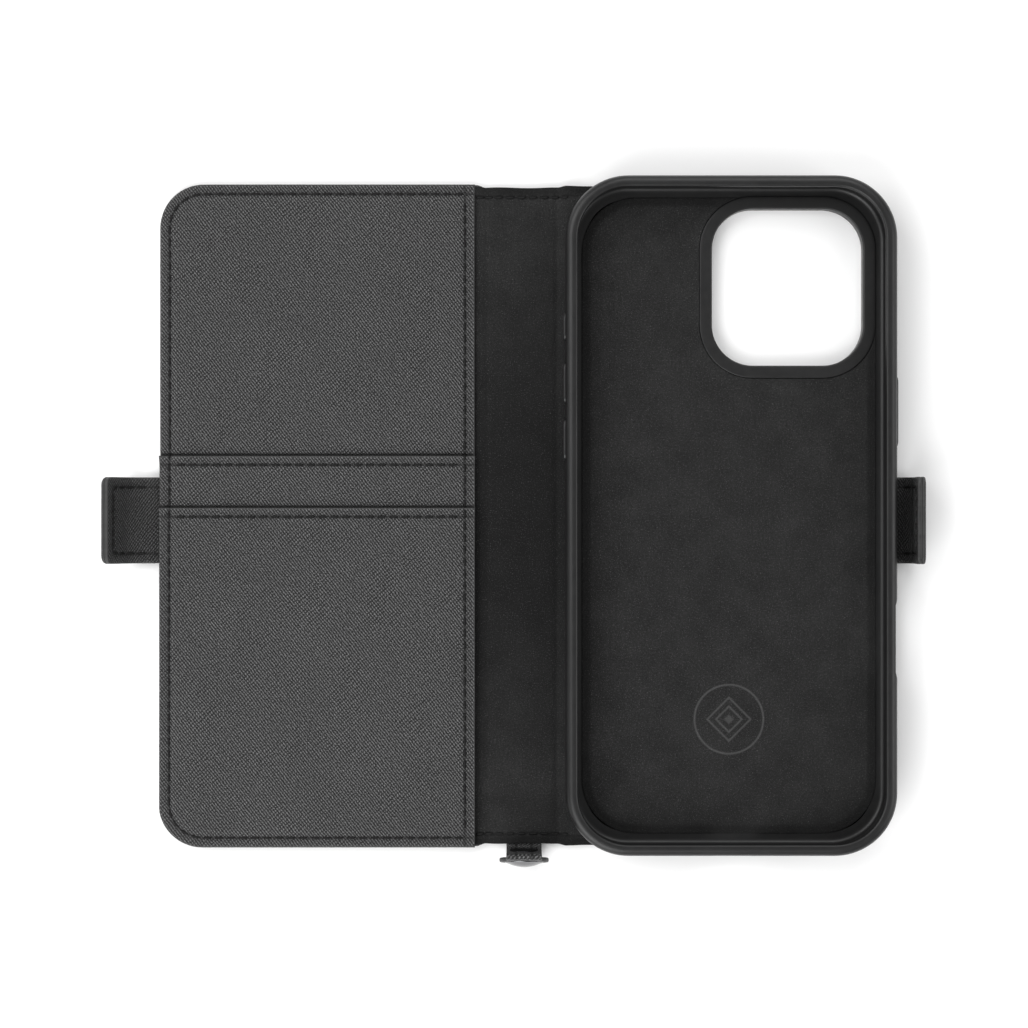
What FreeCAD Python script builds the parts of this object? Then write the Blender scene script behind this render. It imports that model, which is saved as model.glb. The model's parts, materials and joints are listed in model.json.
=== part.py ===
"""Folio case for a large phone, lying open on a table.

A moulded shell is glued to the back panel. A spine joins the back panel to a front
cover with two card pockets. Both outer edges carry a magnetic tab, and the foot of
the spine carries a snap loop for a wrist strap.

Axes: X to the right across the open case, Y towards the top of the phone, Z up from
the table. The origin is on the underside of the back panel, below the shell's centre.
Lengths are millimetres and angles are degrees.
"""
import FreeCAD
import Part
import Sketcher
import math
import os

from FreeCAD import Placement, Rotation, Vector

DRIVING_DIMENSIONS = {
    # stack of the sheets, counted up from the table
    "skin_thick": 1.0,
    "board_thick": 0.8,
    "lining_thick": 0.6,
    "spine_lining_thick": 0.8,
    "panel_thick": 0.9,
    "pocket_thick": 0.8,
    # front cover
    "cover_height": 166.2,
    "cover_outer_edge": 142.5,
    "panel_inner_edge": 63.5,
    "cover_corner": 11.0,
    "board_inset": 3.8,
    "upper_hem": 15.0,
    "lower_hem": 2.0,
    "card_gap": 0.35,
    "card_margin": 3.6,
    # spine and its two creases
    "spine_height": 164.6,
    "cover_crease": 60.5,
    "back_crease": 43.0,
    "crease_level": 0.9,
    "crease_radius": 0.85,
    "crease_gap": 1.35,
    # clearances shared by several cuts
    "cut_over": 1.0,
    "sheet_clearance": 0.1,
    # back panel
    "back_height": 165.4,
    "back_outer_edge": 40.5,
    "back_corner": 14.6,
    # moulded shell
    "shell_width": 81.8,
    "shell_length": 168.0,
    "shell_corner": 15.5,
    "shell_height": 11.1,
    "floor_thick": 1.3,
    "cavity_width": 77.9,
    "cavity_length": 163.3,
    "cavity_corner": 13.6,
    "lip_width": 75.8,
    "lip_length": 162.0,
    "lip_corner": 12.8,
    "lip_thick": 1.1,
    "shell_foot_round": 3.4,
    "shell_rim_round": 1.7,
    "lip_bevel": 0.55,
    # soft pad on the shell's floor
    "pad_width": 73.6,
    "pad_length": 159.0,
    "pad_corner": 13.6,
    "pad_thick": 0.5,
    "emblem_y": 50.9,
    "emblem_radius": 8.8,
    "emblem_line": 0.5,
    "emblem_depth": 0.2,
    # camera window
    "camera_x": 14.7,
    "camera_y": 57.1,
    "camera_width": 37.8,
    "camera_length": 39.2,
    "camera_corner": 10.2,
    "camera_rim": 3.15,
    "camera_collar": 1.2,
    "camera_recess": 0.15,
    # wall cut-outs and keys
    "key_level": 8.4,
    "key_width": 3.4,
    "key_clearance": 0.2,
    "key_flange": 0.8,
    "key_flange_thick": 0.5,
    "key_travel": 0.4,
    "key_proud": 0.6,
    "action_y": 46.9,
    "action_length": 7.2,
    "volume_up_y": 32.9,
    "volume_down_y": 18.9,
    "volume_length": 10.4,
    "side_y": 25.8,
    "side_length": 17.4,
    "camera_key_y": 30.4,
    "camera_key_length": 21.0,
    "camera_key_width": 5.0,
    "port_width": 13.4,
    "port_height": 6.2,
    "grille_width": 13.0,
    "grille_height": 3.0,
    "grille_x": 18.5,
    "wall_cut": 5.0,
    # closing tabs
    "tab_width": 21.6,
    "tab_y": 1.2,
    "tab_sheet": 0.7,
    "tab_filling": 0.8,
    "tab_axis_gap": 1.4,
    "tab_start": 1.25,
    "tab_hinge_start": 0.0125,
    "tab_fold_clearance": 0.05,
    "tab_tip_round": 2.0,
    "front_tab_run": 2.0,
    "front_tab_bend": 7.0,
    "front_tab_angle": 62.0,
    "front_tab_end": 6.4,
    "rear_tab_run": 1.6,
    "rear_tab_bend": 3.3,
    "rear_tab_angle": 90.0,
    "rear_tab_end": 8.5,
    "magnet_width": 15.0,
    "magnet_length": 4.8,
    "magnet_inset": 1.3,
    # snap loop
    "loop_x": 51.2,
    "loop_width": 8.8,
    "loop_sheet": 0.7,
    "loop_offset": 1.0,
    "loop_crest": 13.6,
    "loop_splay": 10.5,
    "snap_level": 6.7,
    "flap_radius": 6.15,
    "flap_top_gap": 0.91,
    "snap_cap_radius": 4.8,
    "snap_cap_height": 1.5,
    "snap_cap_round": 1.2,
    "snap_socket_radius": 3.2,
    "snap_socket_height": 0.55,
    "snap_bore_radius": 2.1,
    "snap_stud_radius": 1.5,
    "snap_stud_height": 0.5,
    "snap_plate_radius": 3.6,
    "snap_plate": 0.3,
    # sewing
    "stitch_pitch": 3.0,
    "stitch_length": 2.1,
    "stitch_width": 0.5,
    "stitch_height": 0.2,
    "stitch_inset": 2.5,
    "hem_inset": 2.3,
    "step_clear": 1.26,
}

XY = "XY_Plane"
XZ = "XZ_Plane"
YZ = "YZ_Plane"


class Size:
    """A length held as a number and as the spreadsheet expression that gives it."""

    def __init__(self, text, value):
        self.text = text
        self.value = value

    def joined(self, other, sign, value):
        text = other.text if isinstance(other, Size) else repr(float(other))
        return Size("(%s %s %s)" % (self.text, sign, text), value)

    def __add__(self, other):
        return self.joined(other, "+", self.value + number(other))

    def __sub__(self, other):
        return self.joined(other, "-", self.value - number(other))

    def __mul__(self, other):
        return self.joined(other, "*", self.value * number(other))

    def __truediv__(self, other):
        return self.joined(other, "/", self.value / number(other))

    def __neg__(self):
        return Size("(0 - %s)" % self.text, -self.value)


def number(size):
    """The plain number behind a Size, or the number itself."""
    return size.value if isinstance(size, Size) else float(size)


class Dimensions:
    """Gives each cell of the sheet as a Size named after its alias."""

    def __getattr__(self, alias):
        if alias not in DRIVING_DIMENSIONS:
            raise AttributeError(alias)
        return Size("Dimensions." + alias, DRIVING_DIMENSIONS[alias])


doc = FreeCAD.newDocument("folio_case")
dim = Dimensions()
nodes = []
NOTHING = Size("0", 0.0)
TOUCHING = 1e-4


def make_sheet():
    """The spreadsheet that drives every size of the case."""
    sheet = doc.addObject("Spreadsheet::Sheet", "Dimensions")
    for row, (alias, value) in enumerate(DRIVING_DIMENSIONS.items(), start=1):
        sheet.set("A%d" % row, alias)
        sheet.set("B%d" % row, str(value))
        sheet.setAlias("B%d" % row, alias)
    doc.recompute()


def bind(item, path, size):
    """Ties one property of an object to the sheet, or sets a fixed number."""
    if isinstance(size, Size):
        item.setExpression(path, size.text)
    else:
        item.setExpression(path, repr(float(size)))


def label(item, name):
    """Gives a finished sub-part its own name and keeps it for export."""
    item.Label = name
    nodes.append(item)
    return item


# ---------------------------------------------------------------- sketch helpers


def new_sketch(body, name, plane, offset):
    """A sketch on one of the body's own planes, moved by a bound offset."""
    sketch = body.newObject("Sketcher::SketchObject", name)
    origin_plane = next(item for item in body.Origin.OriginFeatures if item.Role == plane)
    sketch.AttachmentSupport = [(origin_plane, "")]
    sketch.MapMode = "FlatFace"
    for axis, size in zip("xyz", offset):
        bind(sketch, "AttachmentOffset.Base." + axis, size)
    return sketch


def drive(sketch, kind, arguments, name, size):
    """Adds a dimensional constraint and binds it to the sheet."""
    index = sketch.addConstraint(Sketcher.Constraint(kind, *arguments, number(size)))
    sketch.renameConstraint(index, name)
    bind(sketch, "Constraints." + name, size)


def rectangle(sketch, width, length, corners, tag=""):
    """A centred rectangle; corners holds a radius or None, anticlockwise from low x, low y."""
    half_w, half_l = number(width) / 2, number(length) / 2
    signs = [(-1, -1), (1, -1), (1, 1), (-1, 1)]
    radii = [0 if corner is None else number(corner) for corner in corners]
    points = [Vector(sx * half_w, sy * half_l, 0) for sx, sy in signs]
    lines = []
    for side in range(4):
        start, end = points[side], points[(side + 1) % 4]
        along = (end - start).normalize()
        first = start + along * radii[side]
        last = end - along * radii[(side + 1) % 4]
        lines.append(sketch.addGeometry(Part.LineSegment(first, last), False))
        kind = "Horizontal" if side % 2 == 0 else "Vertical"
        sketch.addConstraint(Sketcher.Constraint(kind, lines[-1]))
    for turn in range(4):
        before, after = lines[turn - 1], lines[turn]
        if corners[turn] is None:
            sketch.addConstraint(Sketcher.Constraint("Coincident", before, 2, after, 1))
            continue
        sx, sy = signs[turn]
        centre = points[turn] - Vector(sx, sy, 0) * radii[turn]
        circle = Part.Circle(centre, Vector(0, 0, 1), radii[turn])
        begin = math.radians(180 + 90 * turn)
        arc = sketch.addGeometry(Part.ArcOfCircle(circle, begin, begin + math.pi / 2), False)
        sketch.addConstraint(Sketcher.Constraint("Tangent", before, 2, arc, 1))
        sketch.addConstraint(Sketcher.Constraint("Tangent", arc, 2, after, 1))
        drive(sketch, "Radius", (arc,), "corner_%d%s" % (turn, tag), corners[turn])
    half_width, half_length = width / 2, length / 2
    drive(sketch, "DistanceX", (lines[3], 1, -1, 1), "left" + tag, half_width)
    drive(sketch, "DistanceX", (-1, 1, lines[1], 1), "right" + tag, half_width)
    drive(sketch, "DistanceY", (lines[0], 1, -1, 1), "bottom" + tag, half_length)
    drive(sketch, "DistanceY", (-1, 1, lines[2], 1), "top" + tag, half_length)


def slot(sketch, length, width):
    """A centred stadium, long along the sketch's first axis."""
    radius = number(width) / 2
    reach = number(length) / 2 - radius
    up = Vector(0, 0, 1)
    low = sketch.addGeometry(Part.LineSegment(Vector(-reach, -radius, 0), Vector(reach, -radius, 0)))
    right = sketch.addGeometry(
        Part.ArcOfCircle(Part.Circle(Vector(reach, 0, 0), up, radius), -math.pi / 2, math.pi / 2)
    )
    high = sketch.addGeometry(Part.LineSegment(Vector(reach, radius, 0), Vector(-reach, radius, 0)))
    left = sketch.addGeometry(
        Part.ArcOfCircle(Part.Circle(Vector(-reach, 0, 0), up, radius), math.pi / 2, 1.5 * math.pi)
    )
    ring = [low, right, high, left]
    for index, piece in enumerate(ring):
        following = ring[(index + 1) % 4]
        sketch.addConstraint(Sketcher.Constraint("Tangent", piece, 2, following, 1))
    sketch.addConstraint(Sketcher.Constraint("Horizontal", low))
    sketch.addConstraint(Sketcher.Constraint("Symmetric", right, 3, left, 3, -1, 1))
    drive(sketch, "Radius", (right,), "end_radius", width / 2)
    drive(sketch, "DistanceX", (left, 3, right, 3), "reach", length - width)


def circle(sketch, radius, tag=""):
    """A circle centred on the sketch's origin."""
    ring = sketch.addGeometry(Part.Circle(Vector(0, 0, 0), Vector(0, 0, 1), number(radius)))
    sketch.addConstraint(Sketcher.Constraint("Coincident", ring, 3, -1, 1))
    drive(sketch, "Radius", (ring,), "radius" + tag, radius)


# --------------------------------------------------------------- feature helpers


def pad(body, sketch, name, length, midplane=False):
    """Raises a sketch along its normal."""
    feature = body.newObject("PartDesign::Pad", name)
    feature.Profile = sketch
    bind(feature, "Length", length)
    feature.Midplane = midplane
    sketch.Visibility = False
    doc.recompute()
    return feature


def pocket(body, sketch, name, depth, along_normal=False):
    """Cuts a sketch into the body and makes sure that material was removed."""
    before = body.Shape.Volume
    feature = body.newObject("PartDesign::Pocket", name)
    feature.Profile = sketch
    bind(feature, "Length", depth)
    feature.Reversed = along_normal
    doc.recompute()
    if not body.Shape.Volume < before:
        raise RuntimeError(name + " removed nothing")
    return feature


def round_edges(body, feature, name, radius, chosen, kind="Fillet"):
    """Rounds or bevels the edges of a feature that the test picks."""
    picked = [
        "Edge%d" % (index + 1)
        for index, edge in enumerate(feature.Shape.Edges)
        if chosen(edge)
    ]
    if not picked:
        raise RuntimeError(name + " found no edges")
    rounding = body.newObject("PartDesign::" + kind, name)
    rounding.Base = (feature, picked)
    bind(rounding, "Radius" if kind == "Fillet" else "Size", radius)
    doc.recompute()
    return rounding


def flat_at(level):
    """Picks edges that lie in the plane at this height."""

    def test(edge):
        box = edge.BoundBox
        return abs(box.ZMin - level) < TOUCHING and abs(box.ZMax - level) < TOUCHING

    return test


def sheet_body(name, centre, level, width, length, corners, thick):
    """A flat sheet with its own corner radii, raised from a level."""
    body = doc.addObject("PartDesign::Body", name)
    sketch = new_sketch(body, name + "_outline", XY, (centre[0], centre[1], level))
    rectangle(sketch, width, length, corners)
    pad(body, sketch, name + "_sheet", thick)
    return label(body, name)


def cut_window(body, name, grow, level, depth):
    """Cuts the camera window, grown on every side, down through a sheet."""
    sketch = new_sketch(body, name + "_window", XY, (dim.camera_x, dim.camera_y, level))
    corner = dim.camera_corner + grow
    rectangle(
        sketch,
        dim.camera_width + grow * 2,
        dim.camera_length + grow * 2,
        [corner] * 4,
    )
    pocket(body, sketch, name + "_cut", depth)


# -------------------------------------------------------------------- back panel

board_level = dim.skin_thick
lining_level = board_level + dim.board_thick
shell_level = lining_level + dim.lining_thick
floor_top = shell_level + dim.floor_thick
shell_top = shell_level + dim.shell_height


def make_back_sheet(name, level, thick, inset):
    """One full sheet of the back panel, with the camera window cut out."""
    low = -dim.back_crease + dim.crease_gap + inset
    high = dim.back_outer_edge - inset
    corner = dim.back_corner - inset
    body = sheet_body(
        name,
        ((low + high) / 2, 0),
        level,
        high - low,
        dim.back_height - inset * 2,
        [None, corner, corner, None],
        thick,
    )
    grow = dim.camera_collar + dim.sheet_clearance
    cut_window(body, name, grow, level + thick + dim.cut_over, thick + dim.cut_over * 2)
    return body


def make_back_panel():
    """Leather skin, stiffening board and suede lining under the shell."""
    make_back_sheet("back_skin", NOTHING, dim.skin_thick, NOTHING)
    make_back_sheet("back_board", board_level, dim.board_thick, dim.board_inset)
    make_back_sheet("back_lining", lining_level, dim.lining_thick, NOTHING)


def make_shell():
    """The moulded tray that grips the phone, in one piece with its camera collar."""
    body = doc.addObject("PartDesign::Body", "shell_frame")
    outer = new_sketch(body, "shell_outline", XY, (0, 0, shell_level))
    rectangle(outer, dim.shell_width, dim.shell_length, [dim.shell_corner] * 4)
    block = pad(body, outer, "shell_block", dim.shell_height)
    foot = round_edges(
        body, block, "shell_foot", dim.shell_foot_round, flat_at(number(shell_level))
    )
    round_edges(body, foot, "shell_rim", dim.shell_rim_round, flat_at(number(shell_top)))

    lip = new_sketch(body, "lip_outline", XY, (0, 0, shell_top))
    rectangle(lip, dim.lip_width, dim.lip_length, [dim.lip_corner] * 4)
    lip_cut = pocket(body, lip, "lip_opening", dim.shell_height - dim.floor_thick)
    at_rim = flat_at(number(shell_top))
    half_opening = number(dim.lip_width) / 2 + TOUCHING

    def on_lip(edge):
        box = edge.BoundBox
        return at_rim(edge) and -half_opening < box.XMin and box.XMax < half_opening

    round_edges(body, lip_cut, "lip_edge", dim.lip_bevel, on_lip, kind="Chamfer")
    cavity = new_sketch(body, "cavity_outline", XY, (0, 0, floor_top))
    rectangle(cavity, dim.cavity_width, dim.cavity_length, [dim.cavity_corner] * 4)
    cavity_height = dim.shell_height - dim.floor_thick - dim.lip_thick
    pocket(body, cavity, "cavity", cavity_height, along_normal=True)

    add_camera_ring(body, "camera_rim", dim.camera_rim, floor_top, dim.pad_thick)
    collar_height = shell_level - dim.camera_recess
    add_camera_ring(
        body, "camera_collar", dim.camera_collar, dim.camera_recess, collar_height
    )
    cut_window(body, "shell", NOTHING, shell_top, dim.shell_height + shell_level)

    cut_side_openings(body)
    return label(body, "shell_frame")


def add_camera_ring(body, name, grow, level, height):
    """A raised block around the camera window; the window is cut through it later."""
    sketch = new_sketch(body, name + "_outline", XY, (dim.camera_x, dim.camera_y, level))
    corner = dim.camera_corner + grow
    rectangle(
        sketch,
        dim.camera_width + grow * 2,
        dim.camera_length + grow * 2,
        [corner] * 4,
    )
    pad(body, sketch, name, height)


def cut_wall_slot(body, name, side, centre_y, length, width, start, depth):
    """Cuts a stadium through a long wall, from a distance off the middle outwards."""
    reach = start if side > 0 else -start
    sketch = new_sketch(body, name + "_outline", YZ, (centre_y, dim.key_level, reach))
    slot(sketch, length, width)
    pocket(body, sketch, name, depth, along_normal=side > 0)


def cut_end_slot(body, name, centre_x, length, width):
    """Cuts a stadium through the bottom wall."""
    start = dim.cavity_length / 2 - dim.cut_over
    sketch = new_sketch(body, name + "_outline", XZ, (centre_x, dim.key_level, start))
    slot(sketch, length, width)
    pocket(body, sketch, name, dim.wall_cut + dim.cut_over, along_normal=True)


def cut_side_openings(body):
    """Stepped windows for the keys, the camera-key slot, the port and two grilles."""
    start = dim.cavity_width / 2 - dim.cut_over
    flange_depth = dim.key_flange_thick + dim.key_travel + dim.sheet_clearance
    for name, side, centre_y, length in KEYS:
        window = length + dim.key_clearance * 2
        width = dim.key_width + dim.key_clearance * 2
        cut_wall_slot(body, name + "_window", side, centre_y, window, width, start, dim.wall_cut)
        step = dim.key_flange * 2
        cut_wall_slot(
            body,
            name + "_step",
            side,
            centre_y,
            window + step,
            width + step,
            start,
            flange_depth + dim.cut_over,
        )
    cut_wall_slot(
        body,
        "camera_key_slot",
        1,
        -dim.camera_key_y,
        dim.camera_key_length,
        dim.camera_key_width,
        start,
        dim.wall_cut,
    )
    cut_end_slot(body, "port_opening", 0, dim.port_width, dim.port_height)
    for name, side in (("left", -1), ("right", 1)):
        cut_end_slot(
            body, name + "_grille", dim.grille_x * side, dim.grille_width, dim.grille_height
        )


KEYS = (
    ("action_button", -1, dim.action_y, dim.action_length),
    ("volume_up_button", -1, dim.volume_up_y, dim.volume_length),
    ("volume_down_button", -1, dim.volume_down_y, dim.volume_length),
    ("side_button", 1, dim.side_y, dim.side_length),
)


def make_key(name, side, centre_y, length):
    """A push key: a stem through the wall with a flange that keeps it from falling out."""
    body = doc.addObject("PartDesign::Body", name)
    flange_face = dim.cavity_width / 2 + dim.key_travel
    proud_face = dim.shell_width / 2 + dim.key_proud
    start = flange_face * side
    flange = new_sketch(body, name + "_flange_outline", YZ, (centre_y, dim.key_level, start))
    grow = dim.key_flange * 2 - dim.key_clearance * 2
    slot(flange, length + grow, dim.key_width + grow)
    flange_pad = pad(body, flange, name + "_flange", dim.key_flange_thick)
    flange_pad.Reversed = side < 0
    stem = new_sketch(body, name + "_stem_outline", YZ, (centre_y, dim.key_level, start))
    slot(stem, length, dim.key_width)
    stem_pad = pad(body, stem, name + "_stem", proud_face - flange_face)
    stem_pad.Reversed = side < 0
    doc.recompute()
    outer = number(proud_face) * side

    def on_face(edge):
        box = edge.BoundBox
        return abs(box.XMin - outer) < TOUCHING and abs(box.XMax - outer) < TOUCHING

    round_edges(body, stem_pad, name + "_edge", dim.key_proud / 2, on_face)
    return label(body, name)


def make_shell_pad():
    """The suede pad on the shell's floor, cut away at the camera and with a sunk ring."""
    body = doc.addObject("PartDesign::Body", "shell_lining")
    outline = new_sketch(body, "pad_outline", XY, (0, 0, floor_top))
    rectangle(outline, dim.pad_width, dim.pad_length, [dim.pad_corner] * 4)
    pad(body, outline, "pad_sheet", dim.pad_thick)
    top = floor_top + dim.pad_thick
    grow = dim.camera_rim + dim.sheet_clearance
    cut_window(body, "pad", grow, top + dim.cut_over, dim.pad_thick + dim.cut_over * 2)
    ring = new_sketch(body, "emblem_outline", XY, (0, -dim.emblem_y, top))
    circle(ring, dim.emblem_radius, "_outer")
    circle(ring, dim.emblem_radius - dim.emblem_line, "_inner")
    pocket(body, ring, "emblem_groove", dim.emblem_depth)
    return label(body, "shell_lining")


# ------------------------------------------------------------------------- spine


def make_spine():
    """Leather skin with a rounded fold along each crease, and its suede lining."""
    body = doc.addObject("PartDesign::Body", "spine_skin")
    middle = -(dim.cover_crease + dim.back_crease) / 2
    strip = new_sketch(body, "spine_strip_outline", XY, (middle, 0, 0))
    width = dim.cover_crease - dim.back_crease
    rectangle(strip, width, dim.spine_height, [None] * 4)
    pad(body, strip, "spine_strip", dim.skin_thick)
    for name, crease in (("cover", dim.cover_crease), ("back", dim.back_crease)):
        fold = new_sketch(body, name + "_fold_outline", XZ, (-crease, dim.crease_level, 0))
        circle(fold, dim.crease_radius)
        pad(body, fold, name + "_fold", dim.spine_height, midplane=True)
    label(body, "spine_skin")
    sheet_body(
        "spine_lining",
        (middle, 0),
        dim.skin_thick,
        width - dim.crease_gap * 2,
        dim.spine_height,
        [None] * 4,
        dim.spine_lining_thick,
    )


# ------------------------------------------------------------------- front cover

panel_level = dim.skin_thick + dim.board_thick
upper_level = panel_level + dim.panel_thick
lower_level = upper_level + dim.pocket_thick
cover_fold_edge = -dim.cover_crease - dim.crease_gap


def cover_sheet(name, level, thick, inset, inner_edge, corner):
    """A full-height sheet of the cover from its outer edge to an inner edge."""
    low = -dim.cover_outer_edge + inset
    return sheet_body(
        name,
        ((low + inner_edge) / 2, 0),
        level,
        inner_edge - low,
        dim.cover_height - inset * 2,
        [corner, None, None, corner],
        thick,
    )


def make_pocket(name, level, hem):
    """A card pocket: a sheet sewn round three sides, hollowed underneath and open at its hem."""
    foot = -dim.cover_height / 2
    low = -dim.cover_outer_edge
    high = -dim.panel_inner_edge
    body = sheet_body(
        name,
        ((low + high) / 2, (foot + hem) / 2),
        level,
        high - low,
        hem - foot,
        [dim.cover_corner, None, None, None],
        dim.pocket_thick,
    )
    slot_foot = foot + dim.card_margin
    slot_top = hem + dim.cut_over
    centre = ((low + high) / 2, (slot_foot + slot_top) / 2, level)
    sketch = new_sketch(body, name + "_slot_outline", XY, centre)
    width = high - low - dim.card_margin * 2
    rectangle(sketch, width, slot_top - slot_foot, [dim.cover_corner / 2] * 2 + [None] * 2)
    pocket(body, sketch, name + "_slot", dim.card_gap, along_normal=True)


def make_cover():
    """Skin, board, a strip of spine suede, the inner panel and two card pockets."""
    inner = -dim.panel_inner_edge
    corner = dim.cover_corner
    cover_sheet("cover_skin", NOTHING, dim.skin_thick, NOTHING, cover_fold_edge, corner)
    board_corner = dim.cover_corner - dim.board_inset
    board_edge = inner - dim.card_margin
    cover_sheet(
        "cover_board", dim.skin_thick, dim.board_thick, dim.board_inset, board_edge, board_corner
    )
    sheet_body(
        "cover_lining_strip",
        ((board_edge + cover_fold_edge) / 2, 0),
        dim.skin_thick,
        cover_fold_edge - board_edge,
        dim.spine_height,
        [None] * 4,
        dim.board_thick,
    )
    cover_sheet("cover_panel", panel_level, dim.panel_thick, NOTHING, inner, corner)
    make_pocket("card_pocket_upper", upper_level, dim.upper_hem)
    make_pocket("card_pocket_lower", lower_level, dim.lower_hem)


# ---------------------------------------------------------------- closing tabs


class TabShape:
    """The centre line of a curled tab in the XZ plane: a run, a bend and a straight end."""

    def __init__(self, name, side, axis_x, run, bend, angle, end):
        self.name = name
        self.side = side
        self.axis_x = axis_x
        self.run = run
        self.bend = bend
        self.angle = angle
        self.end = end
        self.thick = dim.tab_sheet * 2 + dim.tab_filling
        self.level = self.thick / 2

    def frame(self, distance, height=0.0):
        """Point in X and Z at a distance along the line, and the slope there in degrees."""
        run, bend = number(self.run), number(self.bend)
        arc = bend * math.radians(number(self.angle))
        if distance <= run:
            slope, along, up = 0.0, distance, 0.0
        elif distance <= run + arc:
            slope = (distance - run) / bend
            along = run + bend * math.sin(slope)
            up = bend * (1 - math.cos(slope))
        else:
            slope = math.radians(number(self.angle))
            rest = distance - run - arc
            along = run + bend * math.sin(slope) + rest * math.cos(slope)
            up = bend * (1 - math.cos(slope)) + rest * math.sin(slope)
        along -= height * math.sin(slope)
        up += height * math.cos(slope)
        x = number(self.axis_x) + self.side * along
        return Vector(x, 0, number(self.level) + up), math.degrees(slope)

    def length(self):
        """Full length of the centre line."""
        return number(self.run) + number(self.bend) * math.radians(
            number(self.angle)
        ) + number(self.end)


def tab_path(body, shape, start):
    """The path sketch of a tab, from a short distance past its hinge to its tip."""
    sketch = new_sketch(body, body.Name + "_path", XZ, (shape.axis_x, shape.level, 0))
    run, bend = number(shape.run), number(shape.bend)
    side = shape.side
    angle = math.radians(number(shape.angle))
    first = Vector(side * number(start), 0, 0)
    corner = Vector(side * run, 0, 0)
    centre = Vector(side * run, bend, 0)
    bottom = -math.pi / 2
    if side > 0:
        begin, finish = bottom, bottom + angle
        near, far = 1, 2
    else:
        begin, finish = bottom - angle, bottom
        near, far = 2, 1
    tip_x = side * (run + bend * math.sin(angle))
    bend_end = Vector(tip_x, bend * (1 - math.cos(angle)), 0)
    direction = Vector(side * math.cos(angle), math.sin(angle), 0)
    tip = bend_end + direction * number(shape.end)
    line = sketch.addGeometry(Part.LineSegment(first, corner))
    arc = sketch.addGeometry(
        Part.ArcOfCircle(Part.Circle(centre, Vector(0, 0, 1), bend), begin, finish)
    )
    last = sketch.addGeometry(Part.LineSegment(bend_end, tip))
    sketch.addConstraint(Sketcher.Constraint("Horizontal", line))
    sketch.addConstraint(Sketcher.Constraint("PointOnObject", line, 2, -1))
    sketch.addConstraint(Sketcher.Constraint("Tangent", line, 2, arc, near))
    sketch.addConstraint(Sketcher.Constraint("Tangent", arc, far, last, 1))
    drive(sketch, "Radius", (arc,), "bend", shape.bend)
    drive(sketch, "Distance", (last,), "end", shape.end)
    if side > 0:
        drive(sketch, "DistanceX", (-1, 1, line, 1), "start", start)
        drive(sketch, "DistanceX", (-1, 1, line, 2), "run", shape.run)
    else:
        drive(sketch, "DistanceX", (line, 1, -1, 1), "start", start)
        drive(sketch, "DistanceX", (line, 2, -1, 1), "run", shape.run)
    return sketch


def tab_layer(shape, name, low, thick, start):
    """One leather layer of a tab, swept along the tab's centre line."""
    body = doc.addObject("PartDesign::Body", name)
    path = tab_path(body, shape, start)
    middle = low + thick / 2
    centre = (-dim.tab_y, middle, shape.axis_x + start * shape.side)
    profile = new_sketch(body, name + "_profile", YZ, centre)
    rectangle(profile, dim.tab_width, thick, [None] * 4)
    sweep = body.newObject("PartDesign::AdditivePipe", name + "_sweep")
    sweep.Profile = profile
    sweep.Spine = (path, [])
    sweep.Mode = "Frenet"
    doc.recompute()
    return body


def round_tab_tip(body, shape, name):
    """Rounds the two corners at the free end of a tab layer."""
    end_point, slope = shape.frame(shape.length())
    feature = body.Tip

    def at_tip(edge):
        box = edge.BoundBox
        middle = edge.CenterOfMass
        across = box.YLength < TOUCHING
        near = math.hypot(middle.x - end_point.x, middle.z - end_point.z)
        straight = edge.Length < number(shape.thick)
        return across and straight and near < number(dim.tab_sheet + dim.tab_filling)

    return round_edges(body, feature, name + "_tip", dim.tab_tip_round, at_tip)


def make_tab(shape):
    """A tab of two leathers around a magnet, sewn round its free sides."""
    start = dim.tab_start
    below = dim.tab_sheet
    outer_name = shape.name + "_outer"
    outer = tab_layer(shape, outer_name, NOTHING, below, dim.tab_hinge_start)
    fold_centre = (shape.axis_x, shape.level, dim.tab_y)
    fold = new_sketch(outer, outer_name + "_fold_outline", XZ, fold_centre)
    circle(fold, shape.thick / 2 - dim.tab_fold_clearance)
    pad(outer, fold, outer_name + "_fold", dim.tab_width, midplane=True)
    round_tab_tip(outer, shape, outer_name)
    label(outer, outer_name)

    inner_name = shape.name + "_inner"
    inner = tab_layer(shape, inner_name, below, dim.tab_sheet + dim.tab_filling, start)
    round_tab_tip(inner, shape, inner_name)
    label(inner, inner_name)
    make_magnet(shape, inner)
    sew_tab(shape)


def make_magnet(shape, inner):
    """A flat magnet sealed in a recess of the tab's inner leather."""
    half = number(dim.tab_filling) / 2
    distance = shape.length() - number(dim.magnet_inset) - number(dim.magnet_length)
    corner, slope = shape.frame(distance, -half)
    turn = Rotation(Vector(0, 1, 0), -slope if shape.side > 0 else slope)
    if shape.side < 0:
        corner, slope = shape.frame(distance + number(dim.magnet_length), -half)
    corner.y = -number(dim.tab_y) - number(dim.magnet_width) / 2
    magnet = doc.addObject("Part::Box", shape.name + "_magnet")
    bind(magnet, "Length", dim.magnet_length)
    bind(magnet, "Width", dim.magnet_width)
    bind(magnet, "Height", dim.tab_filling)
    magnet.Placement = Placement(corner, turn)
    doc.recompute()
    nodes.remove(inner)
    recess = doc.addObject("Part::Cut", shape.name + "_inner_leather")
    recess.Base = inner
    recess.Tool = magnet
    name = inner.Label
    inner.Label = name + "_blank"
    label(recess, name)
    label(magnet, shape.name + "_magnet")


# ------------------------------------------------------------------------ sewing


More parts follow.
